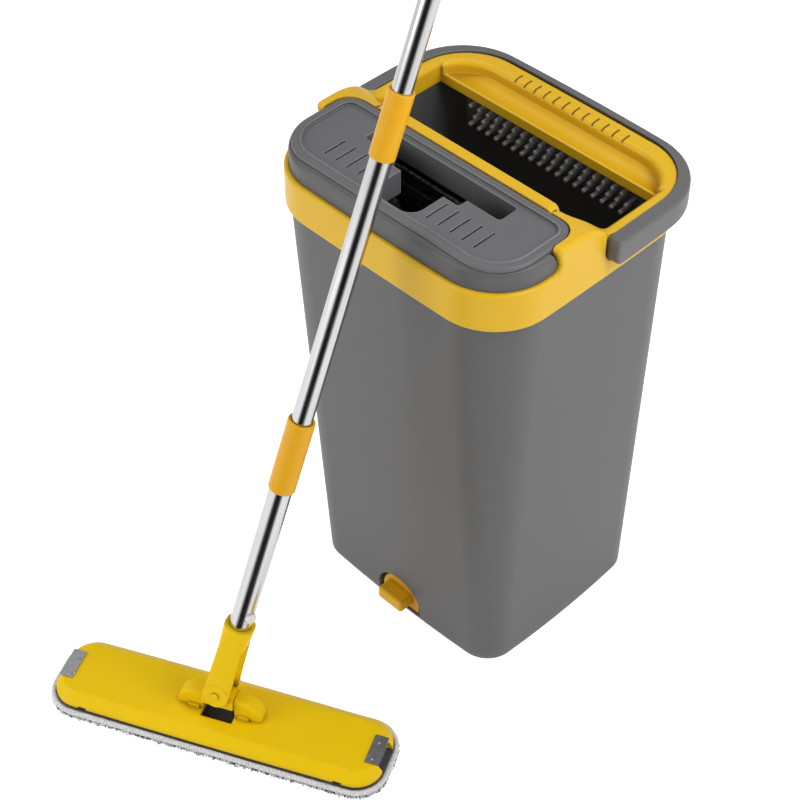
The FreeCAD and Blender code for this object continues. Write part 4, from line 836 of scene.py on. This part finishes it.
@dataclass
class Studio:
    """Pale floor, soft boxes, camera and a dark flag that only shows in reflections.

    Lengths are in metres, but for the camera's lens, and each glow is an emission strength.
    """

    camera_place: tuple[float, float, float] = (0.7602, -0.8372, 1.2851)
    camera_aim: tuple[float, float, float] = (-0.0805, 0.0, 0.1251)
    lens_mm: float = 90.05
    wall_glow: float = 0.45
    floor_glow: float = 0.2
    floor_glow_seen: float = 0.75
    floor_mirrored: float = 0.5
    floor_half: float = 24.0
    floor_drop: float = 0.0005
    flag_rise: float = 0.35
    flag_reach: float = 0.10
    flag_half_width: float = 0.085
    flag_half_length: float = 0.62
    boxes: tuple[SoftBox, ...] = (
        SoftBox("left_box", (-0.9, -1.9, 1.0), (0.0, -0.1, 0.25), (1.2, 1.4), 17.0),
        SoftBox("right_box", (1.9, 0.7, 1.0), (0.0, 0.0, 0.25), (1.2, 1.4), 11.0),
        SoftBox("well_box", (0.55, 0.05, 1.05), (-0.07, 0.03, 0.36), (0.3, 0.3), 3.0),
        SoftBox("top_box", (-0.6, 0.3, 2.2), (0.0, 0.0, 0.3), (1.2, 1.2), 6.0),
    )

    def build(self) -> None:
        """Put up the whole studio."""
        self.build_world()
        self.build_floor()
        self.build_flag()
        for box in self.boxes:
            box.build()
        self.build_camera()

    def build_world(self) -> None:
        """Even pale surroundings."""
        world = bpy.data.worlds.new("studio_walls")
        bpy.context.scene.world = world
        world.use_nodes = True
        background = world.node_tree.nodes["Background"]
        background.inputs[0].default_value = linear("#f2f2f3")
        background.inputs[1].default_value = self.wall_glow

    def build_floor(self) -> None:
        """Pale paper floor that glows a little, so that it stays white under soft light."""
        mesh = bpy.data.meshes.new("floor")
        grid = bmesh.new()
        bmesh.ops.create_grid(grid, x_segments=8, y_segments=8, size=self.floor_half)
        grid.to_mesh(mesh)
        grid.free()
        floor = bpy.data.objects.new("floor", mesh)
        floor.location.z = -self.floor_drop
        bpy.context.scene.collection.objects.link(floor)
        material, tree, output, place = new_tree("matt_paper_floor")
        tooth = add_node(tree, "ShaderNodeTexNoise", inputs={"Vector": place, "Scale": 1.0 / (3.0 * MM)})
        bump = add_node(tree, "ShaderNodeBump", inputs={
            "Strength": 0.05, "Distance": 0.2 * MM, "Height": tooth.outputs[0]})
        seen = add_node(tree, "ShaderNodeLightPath")
        mirrored = add_node(tree, "ShaderNodeMath", {"operation": "MULTIPLY_ADD"},
                            {0: seen.outputs["Is Glossy Ray"], 1: self.floor_mirrored,
                             2: seen.outputs["Is Camera Ray"]})
        glow = spread(tree, mirrored.outputs[0], self.floor_glow, self.floor_glow_seen)
        shader = add_node(tree, "ShaderNodeBsdfPrincipled", inputs={
            "Base Color": linear("#f4f4f4"), "Roughness": 0.9, "Normal": bump.outputs[0],
            "Emission Color": linear("#ffffff"), "Emission Strength": glow})
        tree.links.new(shader.outputs[0], output.inputs["Surface"])
        mesh.materials.append(material)

    def build_flag(self) -> None:
        """Dark gauze strip beside the pole, seen only in reflections, as studios hang for polished tubes."""
        axis = Vector(POLE_AXIS)
        foot = Vector(joint("fork_pitch")["pos_m"])
        middle = foot + axis * self.flag_rise
        back = (Vector(self.camera_place) - Vector(self.camera_aim)).normalized()
        facing = (back - axis * back.dot(axis)).normalized()
        bounce = facing * (2.0 * facing.dot(back)) - back
        side = axis.cross(bounce).normalized()
        mesh = bpy.data.meshes.new("flag")
        corners = [(across * self.flag_half_width, along * self.flag_half_length, 0.0)
                   for across, along in ((-1, -1), (1, -1), (1, 1), (-1, 1))]
        mesh.from_pydata(corners, [], [(0, 1, 2, 3)])
        flag = bpy.data.objects.new("flag", mesh)
        bpy.context.scene.collection.objects.link(flag)
        turn = Matrix((side, axis, side.cross(axis))).transposed().to_4x4()
        flag.matrix_world = Matrix.Translation(middle + bounce * self.flag_reach) @ turn
        for ray in ("camera", "diffuse", "shadow", "transmission", "volume_scatter"):
            setattr(flag, "visible_" + ray, False)
        material, tree, output, place = new_tree("black_flag_gauze")
        across = add_node(tree, "ShaderNodeSeparateXYZ", inputs={0: place})
        off_middle = add_node(tree, "ShaderNodeMath", {"operation": "ABSOLUTE"}, {0: across.outputs[0]})
        cover = add_node(tree, "ShaderNodeMapRange", {"interpolation_type": "SMOOTHSTEP"},
                         {0: off_middle.outputs[0], 1: self.flag_half_width * 0.25, 2: self.flag_half_width,
                          3: 1.0, 4: 0.0})
        nap = add_node(tree, "ShaderNodeTexNoise", inputs={"Vector": place, "Scale": 1.0 / (2.0 * MM)})
        tint = colour_ramp(tree, nap.outputs[0], [(0.3, "#040404"), (0.7, "#090909")])
        shader = add_node(tree, "ShaderNodeBsdfPrincipled", inputs={
            "Base Color": tint, "Roughness": 1.0, "Alpha": cover.outputs[0]})
        tree.links.new(shader.outputs[0], output.inputs["Surface"])
        mesh.materials.append(material)

    def build_camera(self) -> None:
        """Camera at the product's three-quarter view from above."""
        data = bpy.data.cameras.new("camera")
        data.lens = self.lens_mm
        data.sensor_width = 36.0
        data.clip_end = 20.0
        camera = bpy.data.objects.new("camera", data)
        camera.location = self.camera_place
        aim = Vector(self.camera_aim) - Vector(self.camera_place)
        camera.rotation_euler = aim.to_track_quat("-Z", "Y").to_euler()
        bpy.context.scene.collection.objects.link(camera)
        bpy.context.scene.camera = camera
        bpy.context.scene.view_settings.view_transform = "Standard"
        bpy.context.scene.view_settings.look = "None"


def main() -> None:
    """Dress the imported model, build the soft pieces and put up the studio."""
    logging.basicConfig(level=logging.INFO, format="%(name)s: %(message)s")
    Studio().build()
    Bucket().dress()
    LidAndWringer().dress()
    MopHead().dress()
    MopPad().build()
    Pole().dress()


if __name__ == "__main__":
    main()
